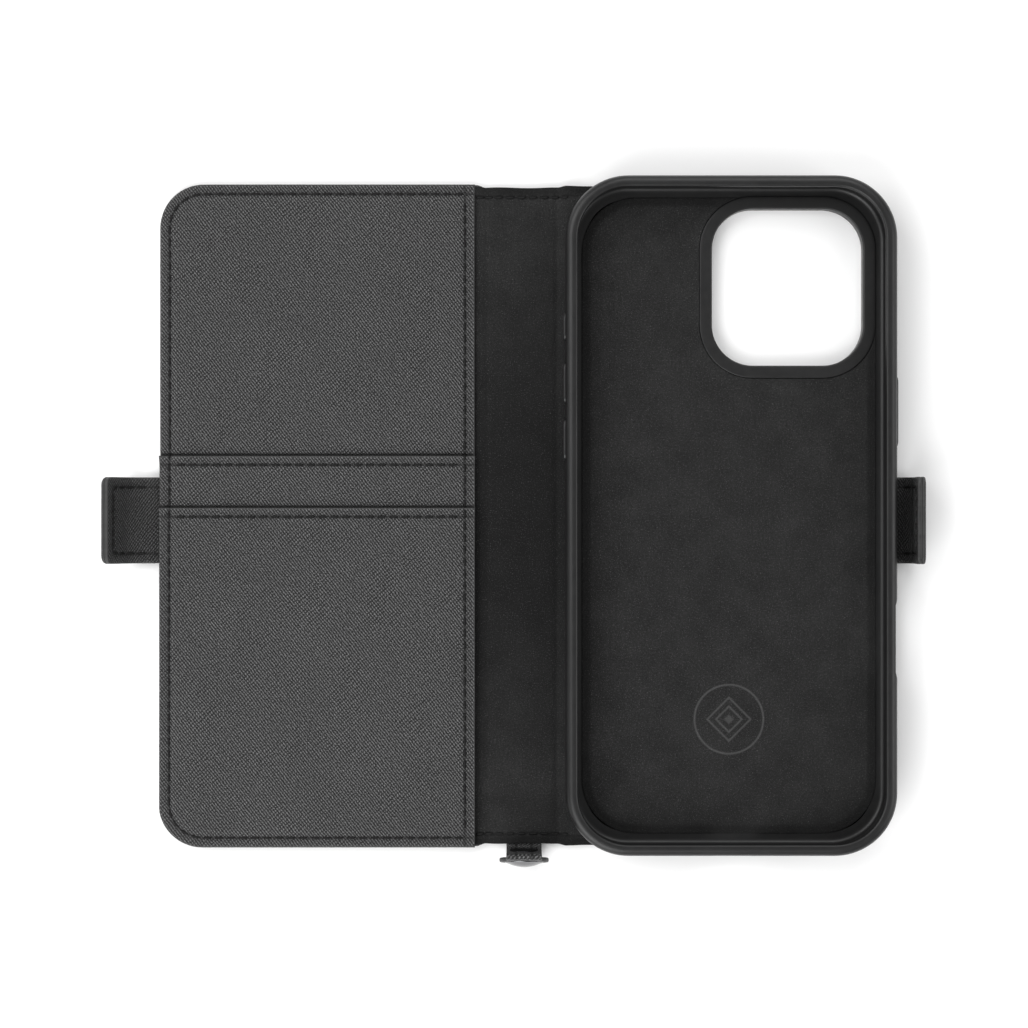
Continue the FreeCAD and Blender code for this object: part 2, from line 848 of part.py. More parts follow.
def stitch(centre, along, up):
    """One visible stitch: a small bar lying on the surface, square to its normal."""
    length = number(dim.stitch_length)
    width = number(dim.stitch_width)
    height = number(dim.stitch_height)
    bar = Part.makeBox(length, width, height, Vector(-length / 2, -width / 2, 0))
    side = up.cross(along).normalize()
    frame = FreeCAD.Matrix(
        along.x, side.x, up.x, centre.x,
        along.y, side.y, up.y, centre.y,
        along.z, side.z, up.z, centre.z,
        0, 0, 0, 1,
    )
    return bar.transformed(frame)


def sewn(name, bars):
    """Keeps a run of stitches as one group of separate solids."""
    item = doc.addObject("Part::Feature", name)
    item.Shape = Part.makeCompound(bars)
    item.Placement = Placement()
    return label(item, name)


def straight_seam(start, end, up):
    """Evenly spaced stitches from one point to another."""
    span = end - start
    count = max(1, round(span.Length / number(dim.stitch_pitch)))
    along = Vector(span).normalize()
    return [
        stitch(start + along * (span.Length * (index + 0.5) / count), along, up)
        for index in range(count)
    ]


def corner_seam(centre, radius, begin, up):
    """Stitches round a quarter turn that starts at an angle in degrees."""
    count = max(1, round(radius * math.pi / 2 / number(dim.stitch_pitch)))
    bars = []
    for index in range(count):
        angle = math.radians(begin + 90.0 * (index + 0.5) / count)
        outward = Vector(math.cos(angle), math.sin(angle), 0)
        along = Vector(-math.sin(angle), math.cos(angle), 0)
        bars.append(stitch(centre + outward * radius, along, up))
    return bars


def surface_level(y):
    """Height of the cover's inner surface at a distance up the cover."""
    if y < number(dim.lower_hem):
        return number(lower_level + dim.pocket_thick)
    if y < number(dim.upper_hem):
        return number(lower_level)
    return number(upper_level)


def vertical_seam(x, low, high, up):
    """A seam along Y that steps over the pockets, clear of their hems."""
    clear = number(dim.step_clear)
    stops = [low, number(dim.lower_hem), number(dim.upper_hem), high]
    bars = []
    for first, last in zip(stops, stops[1:]):
        level = surface_level((first + last) / 2)
        begin = first + (0 if first == low else clear)
        finish = last - (0 if last == high else clear)
        bars += straight_seam(Vector(x, begin, level), Vector(x, finish, level), up)
    return bars


def sew_cover():
    """Seams of the cover: three outer sides, the inner edge and the two pocket hems."""
    up = Vector(0, 0, 1)
    inset = number(dim.stitch_inset)
    left = -number(dim.cover_outer_edge) + inset
    right = -number(dim.panel_inner_edge) - inset
    half = number(dim.cover_height) / 2 - inset
    radius = number(dim.cover_corner) - inset
    foot = surface_level(-half)
    head = surface_level(half)
    bars = vertical_seam(left, -half + radius, half - radius, up)
    bars += corner_seam(Vector(left + radius, -half + radius, foot), radius, 180, up)
    bars += corner_seam(Vector(left + radius, half - radius, head), radius, 90, up)
    turn_x = left + radius
    bars += straight_seam(Vector(turn_x, -half, foot), Vector(right, -half, foot), up)
    bars += straight_seam(Vector(turn_x, half, head), Vector(right, half, head), up)
    sewn("cover_stitching", bars)
    clear = number(dim.stitch_length)
    sewn("panel_edge_stitching", vertical_seam(right, -half + clear, half - clear, up))
    hems = (
        ("pocket_stitching_upper", dim.upper_hem, lower_level),
        ("pocket_stitching_lower", dim.lower_hem, lower_level + dim.pocket_thick),
    )
    for name, hem, level in hems:
        y = number(hem) - number(dim.hem_inset)
        start = Vector(left + clear, y, number(level))
        end = Vector(right - clear, y, number(level))
        sewn(name, straight_seam(start, end, up))


def sew_spine():
    """The two short seams across the head and foot of the spine."""
    up = Vector(0, 0, 1)
    level = number(dim.skin_thick + dim.spine_lining_thick)
    y = number(dim.spine_height) / 2 - number(dim.stitch_inset)
    low = -number(dim.cover_crease) + number(dim.crease_gap)
    high = -number(dim.back_crease) - number(dim.crease_gap)
    bars = []
    for side in (-1, 1):
        bars += straight_seam(Vector(low, side * y, level), Vector(high, side * y, level), up)
    sewn("spine_stitching", bars)


def sew_tab(shape):
    """Stitches along both long sides of a tab and across its free end, on the inner face."""
    pitch = number(dim.stitch_pitch)
    half_pitch = pitch / 2
    inset = number(dim.stitch_inset)
    height = number(shape.thick) / 2
    row = number(dim.tab_width) / 2 - inset
    middle = -number(dim.tab_y)
    first = number(dim.tab_start) + half_pitch
    last = shape.length() - inset
    count = int((last - first) / pitch)
    bars = []
    stops = [last - half_pitch - pitch * index for index in range(count)]
    for distance in stops:
        point, slope = shape.frame(distance, height)
        angle = math.radians(slope)
        along = Vector(shape.side * math.cos(angle), 0, math.sin(angle))
        up = Vector(-shape.side * math.sin(angle), 0, math.cos(angle))
        lift = stitch_lift(shape, distance)
        for side in (-1, 1):
            centre = Vector(point.x, middle + side * row, point.z) + up * lift
            bars.append(stitch(centre, along, up))
    point, slope = shape.frame(last, height)
    angle = math.radians(slope)
    up = Vector(-shape.side * math.sin(angle), 0, math.cos(angle))
    start = Vector(point.x, middle - row + half_pitch / 2, point.z)
    end = Vector(point.x, middle + row - half_pitch / 2, point.z)
    bars += straight_seam(start, end, up)
    sewn(shape.name + "_stitching", bars)


def stitch_lift(shape, distance):
    """How far a straight stitch stands off the hollow side of the bend to clear it."""
    run = number(shape.run)
    arc = number(shape.bend) * math.radians(number(shape.angle))
    half = number(dim.stitch_length) / 2
    if distance + half < run or distance - half > run + arc:
        return 0.0
    radius = number(shape.bend) - number(shape.thick) / 2
    return radius - math.sqrt(radius ** 2 - half ** 2)


# --------------------------------------------------------------------- snap loop


def snap_disc(name, radius, height, base, tilt):
    """A Part cylinder standing out from the loop towards low Y, its far end raised by a tilt."""
    disc = doc.addObject("Part::Cylinder", name)
    bind(disc, "Radius", radius)
    bind(disc, "Height", height)
    disc.Placement = Placement(base, Rotation(Vector(1, 0, 0), 90 - tilt))
    return disc


def joined(kind, name, first, second):
    """A Part boolean of two objects."""
    result = doc.addObject("Part::" + kind, name)
    result.Base = first
    result.Tool = second
    doc.recompute()
    return result


def block(name, width, depth, height, corner, turn=None):
    """A Part box by its low corner."""
    box = doc.addObject("Part::Box", name)
    bind(box, "Length", width)
    bind(box, "Width", depth)
    bind(box, "Height", height)
    box.Placement = Placement(corner, turn or Rotation())
    return box


def make_loop():
    """The wrist-strap loop: a standing strap, a flap folded over it and a press snap."""
    sheet = number(dim.loop_sheet)
    root = Vector(-number(dim.loop_x), -number(dim.spine_height) / 2 - number(dim.loop_offset), 0)
    root.z = number(dim.crease_level)
    half = number(dim.loop_width) / 2
    crest = Vector(root.x, root.y - sheet, number(dim.loop_crest))

    strap = block(
        "strap_leg",
        dim.loop_width,
        dim.loop_sheet,
        dim.loop_crest - dim.crease_level,
        Vector(root.x - half, root.y - sheet, root.z),
    )
    across = Rotation(Vector(0, 1, 0), 90)
    root_fold = doc.addObject("Part::Cylinder", "strap_root_fold")
    bind(root_fold, "Radius", dim.loop_sheet)
    bind(root_fold, "Height", dim.loop_width)
    root_fold.Placement = Placement(Vector(root.x - half, root.y, root.z), across)
    crest_fold = doc.addObject("Part::Cylinder", "strap_crest_fold")
    bind(crest_fold, "Radius", dim.loop_sheet)
    bind(crest_fold, "Height", dim.loop_width)
    crest_fold.Placement = Placement(Vector(crest.x - half, crest.y, crest.z), across)
    legs = joined("Fuse", "strap_with_root", strap, root_fold)
    whole = joined("Fuse", "strap_with_folds", legs, crest_fold)
    make_snap_stud(whole, root, sheet)
    make_flap(crest, sheet)


def make_snap_stud(strap, root, sheet):
    """The fixed half of the snap, riveted through the strap."""
    plate = number(dim.snap_plate)
    level = number(dim.snap_level)
    behind = Vector(root.x, root.y + plate, level)
    back_plate = snap_disc("stud_plate", dim.snap_plate_radius, dim.snap_plate, behind, 0)
    post_length = dim.snap_plate + dim.loop_sheet + dim.snap_stud_height
    post = snap_disc("stud_post", dim.snap_stud_radius, post_length, behind, 0)
    doc.recompute()
    stud = joined("Fuse", "snap_stud_metal", back_plate, post)
    hole = joined("Cut", "strap_with_hole", strap, post)
    label(hole, "loop_strap")
    label(stud, "snap_stud")


def make_flap(crest, sheet):
    """The folded-over flap with its round end, the socket behind it and the cap in front."""
    tilt = number(dim.loop_splay)
    lean = math.radians(tilt)
    turn = Rotation(Vector(1, 0, 0), -tilt)
    down = Vector(0, -math.sin(lean), -math.cos(lean))
    outward = Vector(0, -math.cos(lean), math.sin(lean))
    reach = (number(dim.loop_crest) - number(dim.snap_level)) / math.cos(lean)
    centre = crest + down * reach
    clear = number(dim.flap_top_gap)
    leg_bottom = crest + down * reach
    half = number(dim.loop_width) / 2
    corner = leg_bottom + outward * sheet - Vector(half, 0, 0)
    leg = block("flap_leg", dim.loop_width, dim.loop_sheet, reach - clear, corner, turn)
    disc = snap_disc("flap_disc", dim.flap_radius, dim.loop_sheet, centre, tilt)
    flap = joined("Fuse", "flap_leather", leg, disc)

    socket_height = dim.snap_socket_height
    inside = centre - outward * number(socket_height)
    barrel = snap_disc("socket_barrel", dim.snap_socket_radius, socket_height, inside, tilt)
    bore = snap_disc("socket_bore", dim.snap_bore_radius, socket_height, inside, tilt)
    doc.recompute()
    socket = joined("Cut", "socket_ring", barrel, bore)

    face = centre + outward * sheet
    cap = snap_disc("cap_blank", dim.snap_cap_radius, dim.snap_cap_height, face, tilt)
    doc.recompute()
    dome = doc.addObject("Part::Fillet", "cap_dome")
    dome.Base = cap
    rim_edge = max(
        range(len(cap.Shape.Edges)),
        key=lambda index: cap.Shape.Edges[index].CenterOfMass.dot(outward),
    )
    rounding = number(dim.snap_cap_round)
    dome.Edges = [(rim_edge + 1, rounding, rounding)]
    doc.recompute()
    label(flap, "loop_flap")
    label(socket, "snap_socket")
    label(dome, "snap_cap")


# ------------------------------------------------------------------------- build


def check_and_export():
    """Stops on any failed object, then writes each sub-part to its own STEP file."""
    doc.recompute()
    for item in doc.Objects:
        if "Invalid" in item.State or "Error" in item.State:
            raise RuntimeError("%s is %s" % (item.Label, item.State))
    names = [item.Label for item in nodes]
    if len(set(names)) != len(names):
        raise RuntimeError("two sub-parts share a name")
    for item in nodes:
        if item.Shape.isNull() or not item.Shape.isValid():
            raise RuntimeError(item.Label + " has no valid shape")
    os.makedirs("parts", exist_ok=True)
    for item in nodes:
        item.Shape.exportStep("parts/%s.step" % item.Label)
        box = item.Shape.BoundBox
        print(
            "%-24s solids %3d  x %8.2f %8.2f  y %8.2f %8.2f  z %6.2f %6.2f"
            % (item.Label, len(item.Shape.Solids), box.XMin, box.XMax,
               box.YMin, box.YMax, box.ZMin, box.ZMax)
        )


def build():
    """Builds the whole case."""
    make_sheet()
    make_back_panel()
    make_shell()
    make_shell_pad()
    for key in KEYS:
        make_key(*key)
    make_spine()
    make_cover()
    front_axis = -dim.cover_outer_edge - dim.tab_axis_gap
    rear_axis = dim.back_outer_edge + dim.tab_axis_gap
    make_tab(TabShape("front_tab", -1, front_axis, dim.front_tab_run, dim.front_tab_bend,
                      dim.front_tab_angle, dim.front_tab_end))
    make_tab(TabShape("rear_tab", 1, rear_axis, dim.rear_tab_run, dim.rear_tab_bend,
                      dim.rear_tab_angle, dim.rear_tab_end))
    make_loop()
    sew_cover()
    sew_spine()
    check_and_export()


build()
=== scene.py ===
import bpy
import bmesh
import json
import math
import numpy as np
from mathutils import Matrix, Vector


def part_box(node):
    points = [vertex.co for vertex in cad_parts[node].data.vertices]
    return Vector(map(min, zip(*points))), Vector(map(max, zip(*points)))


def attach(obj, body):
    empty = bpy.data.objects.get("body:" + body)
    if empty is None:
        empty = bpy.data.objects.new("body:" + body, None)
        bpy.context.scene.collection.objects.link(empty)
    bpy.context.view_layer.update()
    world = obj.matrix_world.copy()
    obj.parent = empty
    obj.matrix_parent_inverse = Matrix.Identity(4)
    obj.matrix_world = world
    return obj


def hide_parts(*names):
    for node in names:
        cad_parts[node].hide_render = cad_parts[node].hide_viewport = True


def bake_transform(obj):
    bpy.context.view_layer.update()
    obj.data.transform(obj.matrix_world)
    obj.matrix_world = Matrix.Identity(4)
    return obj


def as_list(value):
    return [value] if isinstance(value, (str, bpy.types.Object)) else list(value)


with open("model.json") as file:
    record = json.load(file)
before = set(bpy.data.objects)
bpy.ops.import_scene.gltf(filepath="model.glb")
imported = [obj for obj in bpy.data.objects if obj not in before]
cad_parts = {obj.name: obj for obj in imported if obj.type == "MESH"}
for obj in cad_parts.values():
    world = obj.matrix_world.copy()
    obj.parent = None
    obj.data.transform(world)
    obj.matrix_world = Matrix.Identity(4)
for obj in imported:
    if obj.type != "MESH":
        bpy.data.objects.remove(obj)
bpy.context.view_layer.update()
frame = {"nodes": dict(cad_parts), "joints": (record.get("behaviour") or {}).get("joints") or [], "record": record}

MM = 0.001
JOINTS = {joint["name"]: joint for joint in frame["joints"]}


def corners(node):
    """Lowest and highest corner of a CAD node, in millimetres."""
    low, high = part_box(node)
    return np.array(low) / MM, np.array(high) / MM


SKIN_LOW, SKIN_HIGH = corners("cover_skin")
PANEL_LOW, PANEL_HIGH = corners("cover_panel")
UPPER_LOW, UPPER_HIGH = corners("card_pocket_upper")
LOWER_LOW, LOWER_HIGH = corners("card_pocket_lower")
SPINE_HIGH = corners("spine_skin")[1]
SUEDE_LOW, SUEDE_HIGH = corners("spine_lining")
STRIP_LOW, STRIP_HIGH = corners("cover_lining_strip")
BACK_HIGH = corners("back_skin")[1]
LINING_LOW, LINING_HIGH = corners("back_lining")
SHELL_LOW, SHELL_HIGH = corners("shell_frame")
PAD_LOW, PAD_HIGH = corners("shell_lining")
STRAP_LOW, STRAP_HIGH = corners("loop_strap")
FLAP_LOW, FLAP_HIGH = corners("loop_flap")


def pivot(name):
    """A hinge's point in millimetres."""
    return np.array(JOINTS[name]["pos_m"]) / MM


COVER_CREASE = pivot("cover_fold")
BACK_CREASE = pivot("spine_fold")
SPINE_MIDDLE = (COVER_CREASE[0] + BACK_CREASE[0]) / 2
FOLD_REACH = 1.9

# Sewing and edges, in millimetres.
STITCH_INSET = 2.5
HEM_INSET = 2.3
STITCH_PITCH = 3.0
COVER_CORNER = 11.0
BACK_CORNER = 14.6
PAINTED_EDGE = 0.32
SHEET_CREASE = 62       # degrees; sharper corners of a sheet stay crisp

# Camera window in the tray: centre, size and corner, and how much wider each sheet is cut.
WINDOW_X, WINDOW_Y = 14.7, 57.1
WINDOW_W, WINDOW_L, WINDOW_R = 37.8, 39.2, 10.2
SKIN_WINDOW, LINING_WINDOW, PAD_WINDOW = 1.25, 1.3, 3.25

UP = np.array([0.0, 0.0, 1.0])

# The leather's pressed ridges: angle in degrees, pitch in millimetres and how much they wander.
MAIN_RIDGES = (-52.0, 0.63, 2.6)
CROSS_RIDGES = (42.0, 0.80, 3.8)

# Studio: light from all round, and the camera's place and the width it covers, in metres.
WORLD_LIGHT = 0.34
LAMP_SIZE = 0.75
CAMERA_X, CAMERA_Y, CAMERA_HEIGHT = -0.0537, 0.0004, 0.610
WIDTH_COVERED = 0.2587


# ------------------------------------------------------------------ materials


class Nodes:
    """Small helper for writing a material as a chain of node calls."""

    def __init__(self, name):
        self.material = bpy.data.materials.new(name)
        self.material.use_nodes = True
        self.tree = self.material.node_tree
        self.shader = self.tree.nodes["Principled BSDF"]

    def add(self, kind, **settings):
        node = self.tree.nodes.new(kind)
        for key, value in settings.items():
            setattr(node, key, value)
        return node

    def link(self, source, target):
        self.tree.links.new(source, target)

    def feed(self, socket, value):
        if isinstance(value, bpy.types.NodeSocket):
            self.link(value, socket)
        else:
            socket.default_value = value

    def math(self, operation, first, second=0.0, third=None, clamp=False):
        node = self.add("ShaderNodeMath", operation=operation, use_clamp=clamp)
        self.feed(node.inputs[0], first)
        self.feed(node.inputs[1], second)
        if third is not None:
            self.feed(node.inputs[2], third)
        return node.outputs[0]

    def flat_map(self):
        """The piece's own flat layout in millimetres, as two sockets and a vector."""
        uv = self.add("ShaderNodeUVMap", uv_map="Flat")
        scale = self.add("ShaderNodeVectorMath", operation="SCALE")
        self.link(uv.outputs[0], scale.inputs[0])
        scale.inputs["Scale"].default_value = 1000.0
        split = self.add("ShaderNodeSeparateXYZ")
        self.link(scale.outputs[0], split.inputs[0])
        return split.outputs[0], split.outputs[1], scale.outputs[0]

    def rest_map(self):
        """Object coordinates in millimetres, for pieces that never bend."""
        place = self.add("ShaderNodeTexCoord")
        scale = self.add("ShaderNodeVectorMath", operation="SCALE")
        self.link(place.outputs["Object"], scale.inputs[0])
        scale.inputs["Scale"].default_value = 1000.0
        return scale.outputs[0]

    def noise(self, vector, scale, detail=3.0, rough=0.55):
        node = self.add("ShaderNodeTexNoise")
        self.link(vector, node.inputs["Vector"])
        node.inputs["Scale"].default_value = scale
        node.inputs["Detail"].default_value = detail
        node.inputs["Roughness"].default_value = rough
        return node.outputs["Fac"]

    def ramp(self, value, low, high, start=0.0, end=1.0):
        """Maps a value linearly from one range to another, clamped."""
        node = self.add("ShaderNodeMapRange")
        self.feed(node.inputs["Value"], value)
        node.inputs["From Min"].default_value = low
        node.inputs["From Max"].default_value = high
        node.inputs["To Min"].default_value = start
        node.inputs["To Max"].default_value = end
        return node.outputs[0]

    def grey(self, value, tint=(1.0, 1.0, 1.0)):
        """A colour whose brightness follows a value."""
        node = self.add("ShaderNodeCombineColor")
        for channel, share in enumerate(tint):
            self.feed(node.inputs[channel], self.math("MULTIPLY", value, share))
        return node.outputs[0]

    def attribute(self, name):
        node = self.add("ShaderNodeAttribute", attribute_name=name)
        return node.outputs["Fac"]

    def bump(self, height, distance, strength=1.0, normal=None):
        node = self.add("ShaderNodeBump")
        self.link(height, node.inputs["Height"])
        node.inputs["Distance"].default_value = distance
        node.inputs["Strength"].default_value = strength
        if normal is not None:
            self.link(normal, node.inputs["Normal"])
        return node.outputs[0]

    def set(self, **values):
        """Sets shader inputs, by name with underscores for spaces."""
        for key, value in values.items():
            self.feed(self.shader.inputs[key.replace("_", " ")], value)
        return self.material


def cross_grain_leather(name="cross_grain_leather", base=0.030, gain=1.0):
    """Coated leather pressed with crossing diagonal ridges, broken into small beads."""
    mat = Nodes(name)
    u, v, flat = mat.flat_map()
    wander = mat.math("MULTIPLY_ADD", mat.noise(flat, 0.30, 2.0), 1.5, -0.75)
    fine = mat.math("MULTIPLY_ADD", mat.noise(flat, 1.6, 3.0), 0.9, -0.45)
    shift = mat.math("ADD", wander, fine)

    def ridges(angle, pitch, sway):
        """Sine ridges that run along an angle in degrees from the U axis."""
        turn = math.radians(angle)
        across_u = mat.math("MULTIPLY", u, -math.sin(turn) * 2 * math.pi / pitch)
        across_v = mat.math("MULTIPLY", v, math.cos(turn) * 2 * math.pi / pitch)
        phase = mat.math("ADD", across_u, across_v)
        phase = mat.math("ADD", phase, mat.math("MULTIPLY", shift, sway))
        wave = mat.math("SINE", phase)
        return mat.math("MULTIPLY_ADD", wave, 0.5, 0.5)

    main = ridges(*MAIN_RIDGES)
    cross = ridges(*CROSS_RIDGES)
    patch = mat.ramp(mat.noise(flat, 0.11, 3.0, 0.6), 0.40, 0.60, 0.22, 0.78)
    notch = mat.math("MULTIPLY", mat.math("SUBTRACT", 1.0, cross), patch)
    beads = mat.math("MULTIPLY", main, mat.math("SUBTRACT", 1.0, notch))
    evened = mat.math("MULTIPLY_ADD", patch, -0.62, 1.0)
    beads = mat.math("DIVIDE", beads, evened)
    speckle = mat.noise(flat, 2.6, 3.0, 0.65)
    grit = mat.ramp(speckle, 0.34, 0.66, -0.50, 0.62)
    height = mat.math("ADD", beads, grit)
    inset = mat.attribute("inset")
    # Painted highlight: rim lightens the colour on the rounded edge, within 0.8 mm of the side.
    rim = mat.ramp(inset, 0.15, 0.8, 1.0, 0.0)
    # Painted shade: border darkens the pinched strip outside the seam line.
    border = mat.ramp(inset, 2.2, 2.9, 0.80, 1.0)
    smooth = mat.ramp(inset, 0.3, 2.3, 0.55, 1.0)
    # Painted shade: sunk darkens the leather along each seam line.
    sunk = mat.ramp(mat.attribute("seam"), 0.14, 0.48, 0.34, 1.0)
    worn = mat.ramp(mat.noise(flat, 0.045, 3.0, 0.6), 0.3, 0.7, 0.95, 1.07)
    tone = mat.ramp(height, 0.08, 1.35, 0.0, 1.35)
    tone = mat.math("POWER", tone, 1.6)
    tone = mat.math("MULTIPLY_ADD", tone, base * 3.55, base * 0.03)
    # Painted contact shadow: the mark attribute darkens the line just above a pocket's mouth.
    painted_contact_shade = mat.math("MULTIPLY_ADD", mat.attribute("mark"), -0.96, 1.0, True)
    tone = mat.math("MULTIPLY", tone, painted_contact_shade)
    tone = mat.math("MULTIPLY", mat.math("MULTIPLY", tone, worn), border)
    tone = mat.math("MULTIPLY_ADD", rim, base * 0.55, tone)
    # gain below 1 makes a darker copy of this leather: painted shade.
    tone = mat.math("MULTIPLY", mat.math("MULTIPLY", tone, sunk), gain)
    rough = mat.ramp(height, 0.1, 1.1, 0.66, 0.44)
    rough = mat.math("ADD", rough, mat.ramp(speckle, 0.3, 0.7, -0.04, 0.05))
    raised = mat.math("MULTIPLY", height, smooth)
    normal = mat.bump(raised, 0.00022, 1.0)
    return mat.set(
        Base_Color=mat.grey(tone, (1.0, 1.0, 1.01)),
        Roughness=rough,
        Normal=normal,
        Specular_IOR_Level=0.42,
        Coat_Weight=0.03,
        Coat_Roughness=0.35,
    )


def painted_edge():
    """The smooth paint that seals a cut leather edge, a little uneven."""
    mat = Nodes("painted_edge")
    flat = mat.flat_map()[2]
    grain = mat.noise(flat, 1.4, 3.0)
    return mat.set(
        Base_Color=mat.grey(mat.ramp(grain, 0.3, 0.7, 0.012, 0.026)),
        Roughness=mat.ramp(grain, 0.3, 0.7, 0.42, 0.60),
        Normal=mat.bump(grain, 0.00012, 0.5),
    )


def suede(name="suede_microfibre", base=0.012, shaded_middle=False):
    """Short-napped microfibre with brushed patches; its third argument paints shade over the middle of its length.
    """
    mat = Nodes(name)
    _, along, flat = mat.flat_map()
    nap = mat.noise(flat, 0.10, 3.0, 0.6)
    fibre = mat.noise(flat, 2.2, 5.0, 0.75)
    speck = mat.noise(flat, 3.6, 2.0, 0.7)
    brushed = mat.add("ShaderNodeMapping")
    mat.link(flat, brushed.inputs["Vector"])
    brushed.inputs["Scale"].default_value = (1.0, 0.22, 1.0)
    streak = mat.noise(brushed.outputs[0], 1.3, 3.0, 0.6)
    inset = mat.attribute("inset")
    pressed = mat.ramp(inset, 1.4, 2.6, 0.50, 1.0)
    # Painted shade: darker along seam lines.
    pressed = mat.math("MULTIPLY", pressed, mat.ramp(mat.attribute("seam"), 0.1, 0.5, 0.6, 1.0))
    mark = mat.attribute("mark")
    tone = mat.ramp(nap, 0.30, 0.70, base * 0.72, base * 1.30)
    tone = mat.math("MULTIPLY", tone, mat.ramp(fibre, 0.30, 0.70, 0.25, 1.9))
    tone = mat.math("MULTIPLY", tone, mat.ramp(streak, 0.3, 0.7, 0.85, 1.15))
    if shaded_middle:
        # Painted shade: darker towards the middle of the length.
        place = mat.math("ABSOLUTE", along)
        tone = mat.math("MULTIPLY", tone, mat.ramp(place, 20.0, 76.0, 0.42, 1.25))
    # Painted glint: bright specks added to the colour.
    painted_glint = mat.ramp(speck, 0.60, 0.72, 0.0, base * 7.0)
    tone = mat.math("MULTIPLY", mat.math("ADD", tone, painted_glint), pressed)
    tone = mat.math("MULTIPLY_ADD", mark, base * 2.6, tone)
    height = mat.math("MULTIPLY_ADD", streak, 0.5, mat.math("ADD", fibre, speck))
    return mat.set(
        Base_Color=mat.grey(tone),
        Roughness=mat.math("MULTIPLY_ADD", mark, -0.35, mat.ramp(fibre, 0.3, 0.7, 0.86, 0.98)),
        Normal=mat.bump(height, 0.00030, 0.9),
        Sheen_Weight=0.10,
        Sheen_Roughness=0.45,
        Sheen_Tint=(0.55, 0.55, 0.56, 1.0),
        Specular_IOR_Level=0.25,
    )


def moulded_plastic(name="soft_shell_plastic", base=0.0085, rough_low=0.33, rough_high=0.44):
    """Satin soft plastic with the fine spark texture of its mould and faint handling marks."""
    mat = Nodes(name)
    place = mat.rest_map()
    spark = mat.noise(place, 5.0, 3.0, 0.65)
    cloud = mat.noise(place, 0.08, 3.0, 0.55)
    smear = mat.noise(place, 0.5, 4.0, 0.6)
    tone = mat.ramp(cloud, 0.3, 0.7, base * 0.85, base * 1.2)
    tone = mat.math("MULTIPLY", tone, mat.ramp(spark, 0.3, 0.7, 0.9, 1.1))
    rough = mat.ramp(smear, 0.3, 0.7, rough_low, rough_high)
    return mat.set(
        Base_Color=mat.grey(tone, (1.0, 1.0, 1.02)),
        Roughness=rough,
        Normal=mat.bump(mat.math("MULTIPLY_ADD", smear, 0.3, spark), 0.00003, 0.45),
        Specular_IOR_Level=0.38,
    )


def thread():
    """Waxed black thread with a soft shine."""
    mat = Nodes("black_thread")
    place = mat.flat_map()[2]
    fuzz = mat.noise(place, 9.0, 3.0, 0.7)
    return mat.set(
        Base_Color=mat.grey(mat.ramp(fuzz, 0.3, 0.7, 0.0018, 0.0055)),
        Roughness=mat.ramp(fuzz, 0.3, 0.7, 0.50, 0.70),
        Normal=mat.bump(fuzz, 0.00005, 0.7),
        Specular_IOR_Level=0.22,
    )


def polished_metal(name="snap_metal", base=0.13, rough=0.13):
    """Plated metal with a cloudy haze and a very fine grain."""
    mat = Nodes(name)
    place = mat.rest_map()
    haze = mat.noise(place, 1.2, 4.0, 0.6)
    grain = mat.noise(place, 6.0, 2.0, 0.5)
    return mat.set(
        Base_Color=mat.grey(mat.ramp(haze, 0.3, 0.7, base * 0.85, base * 1.1), (1.0, 1.0, 1.03)),
        Metallic=1.0,
        Roughness=mat.ramp(haze, 0.3, 0.7, rough, rough * 1.8),
        Normal=mat.bump(grain, 0.00001, 0.3),
    )


def fibre_board():
    """Grey pressed fibre board, hidden inside the panels."""
    mat = Nodes("stiffener_board")
    place = mat.rest_map()
    fleck = mat.noise(place, 2.5, 4.0, 0.7)
    return mat.set(
        Base_Color=mat.grey(mat.ramp(fleck, 0.3, 0.7, 0.08, 0.15), (1.0, 0.96, 0.9)),
        Roughness=0.9,
        Normal=mat.bump(fleck, 0.0001, 0.5),
    )


# ------------------------------------------------------------- mesh builders


def as_object(name, points, faces, flat=None, inset=None, materials=(), face_material=None,
              seam_gap=None, mark=None):
    """A smooth mesh object from points in millimetres.

    It keeps its flat layout, and for each point the inset from its edge, the gap to the nearest seam and how
    strongly an emblem or a painted contact shadow marks it.
    """
    mesh = bpy.data.meshes.new(name)
    mesh.from_pydata((np.asarray(points) * MM).tolist(), [], [tuple(f) for f in faces])
    for material in materials:
        mesh.materials.append(material)
    if flat is None:
        flat = np.asarray(points)[:, :2]
    layer = mesh.uv_layers.new(name="Flat")
    order = np.zeros(len(mesh.loops), np.int32)
    mesh.loops.foreach_get("vertex_index", order)
    layer.data.foreach_set("uv", (np.asarray(flat)[order] * MM).astype(np.float32).ravel())
    for key, value, usual in (("inset", inset, 6.0), ("seam", seam_gap, 9.0), ("mark", mark, 0.0)):
        numbers = np.full(len(points), usual) if value is None else value
        values = mesh.attributes.new(key, "FLOAT", "POINT")
        values.data.foreach_set("value", np.asarray(numbers, np.float32))
    mesh.polygons.foreach_set("use_smooth", np.ones(len(mesh.polygons), bool))
    if face_material is not None:
        mesh.polygons.foreach_set("material_index", np.asarray(face_material, np.int32))
    obj = bpy.data.objects.new(name, mesh)
    bpy.context.scene.collection.objects.link(obj)
    return obj


def weld(obj, distance=0.002):
    """Joins points that coincide and drops faces that collapse."""
    work = bmesh.new()
    work.from_mesh(obj.data)
    bmesh.ops.remove_doubles(work, verts=work.verts, dist=distance * MM)
    bmesh.ops.dissolve_degenerate(work, edges=work.edges, dist=distance * MM * 0.5)
    bmesh.ops.recalc_face_normals(work, faces=work.faces)
    work.to_mesh(obj.data)
    work.free()
    obj.data.update()
    return obj


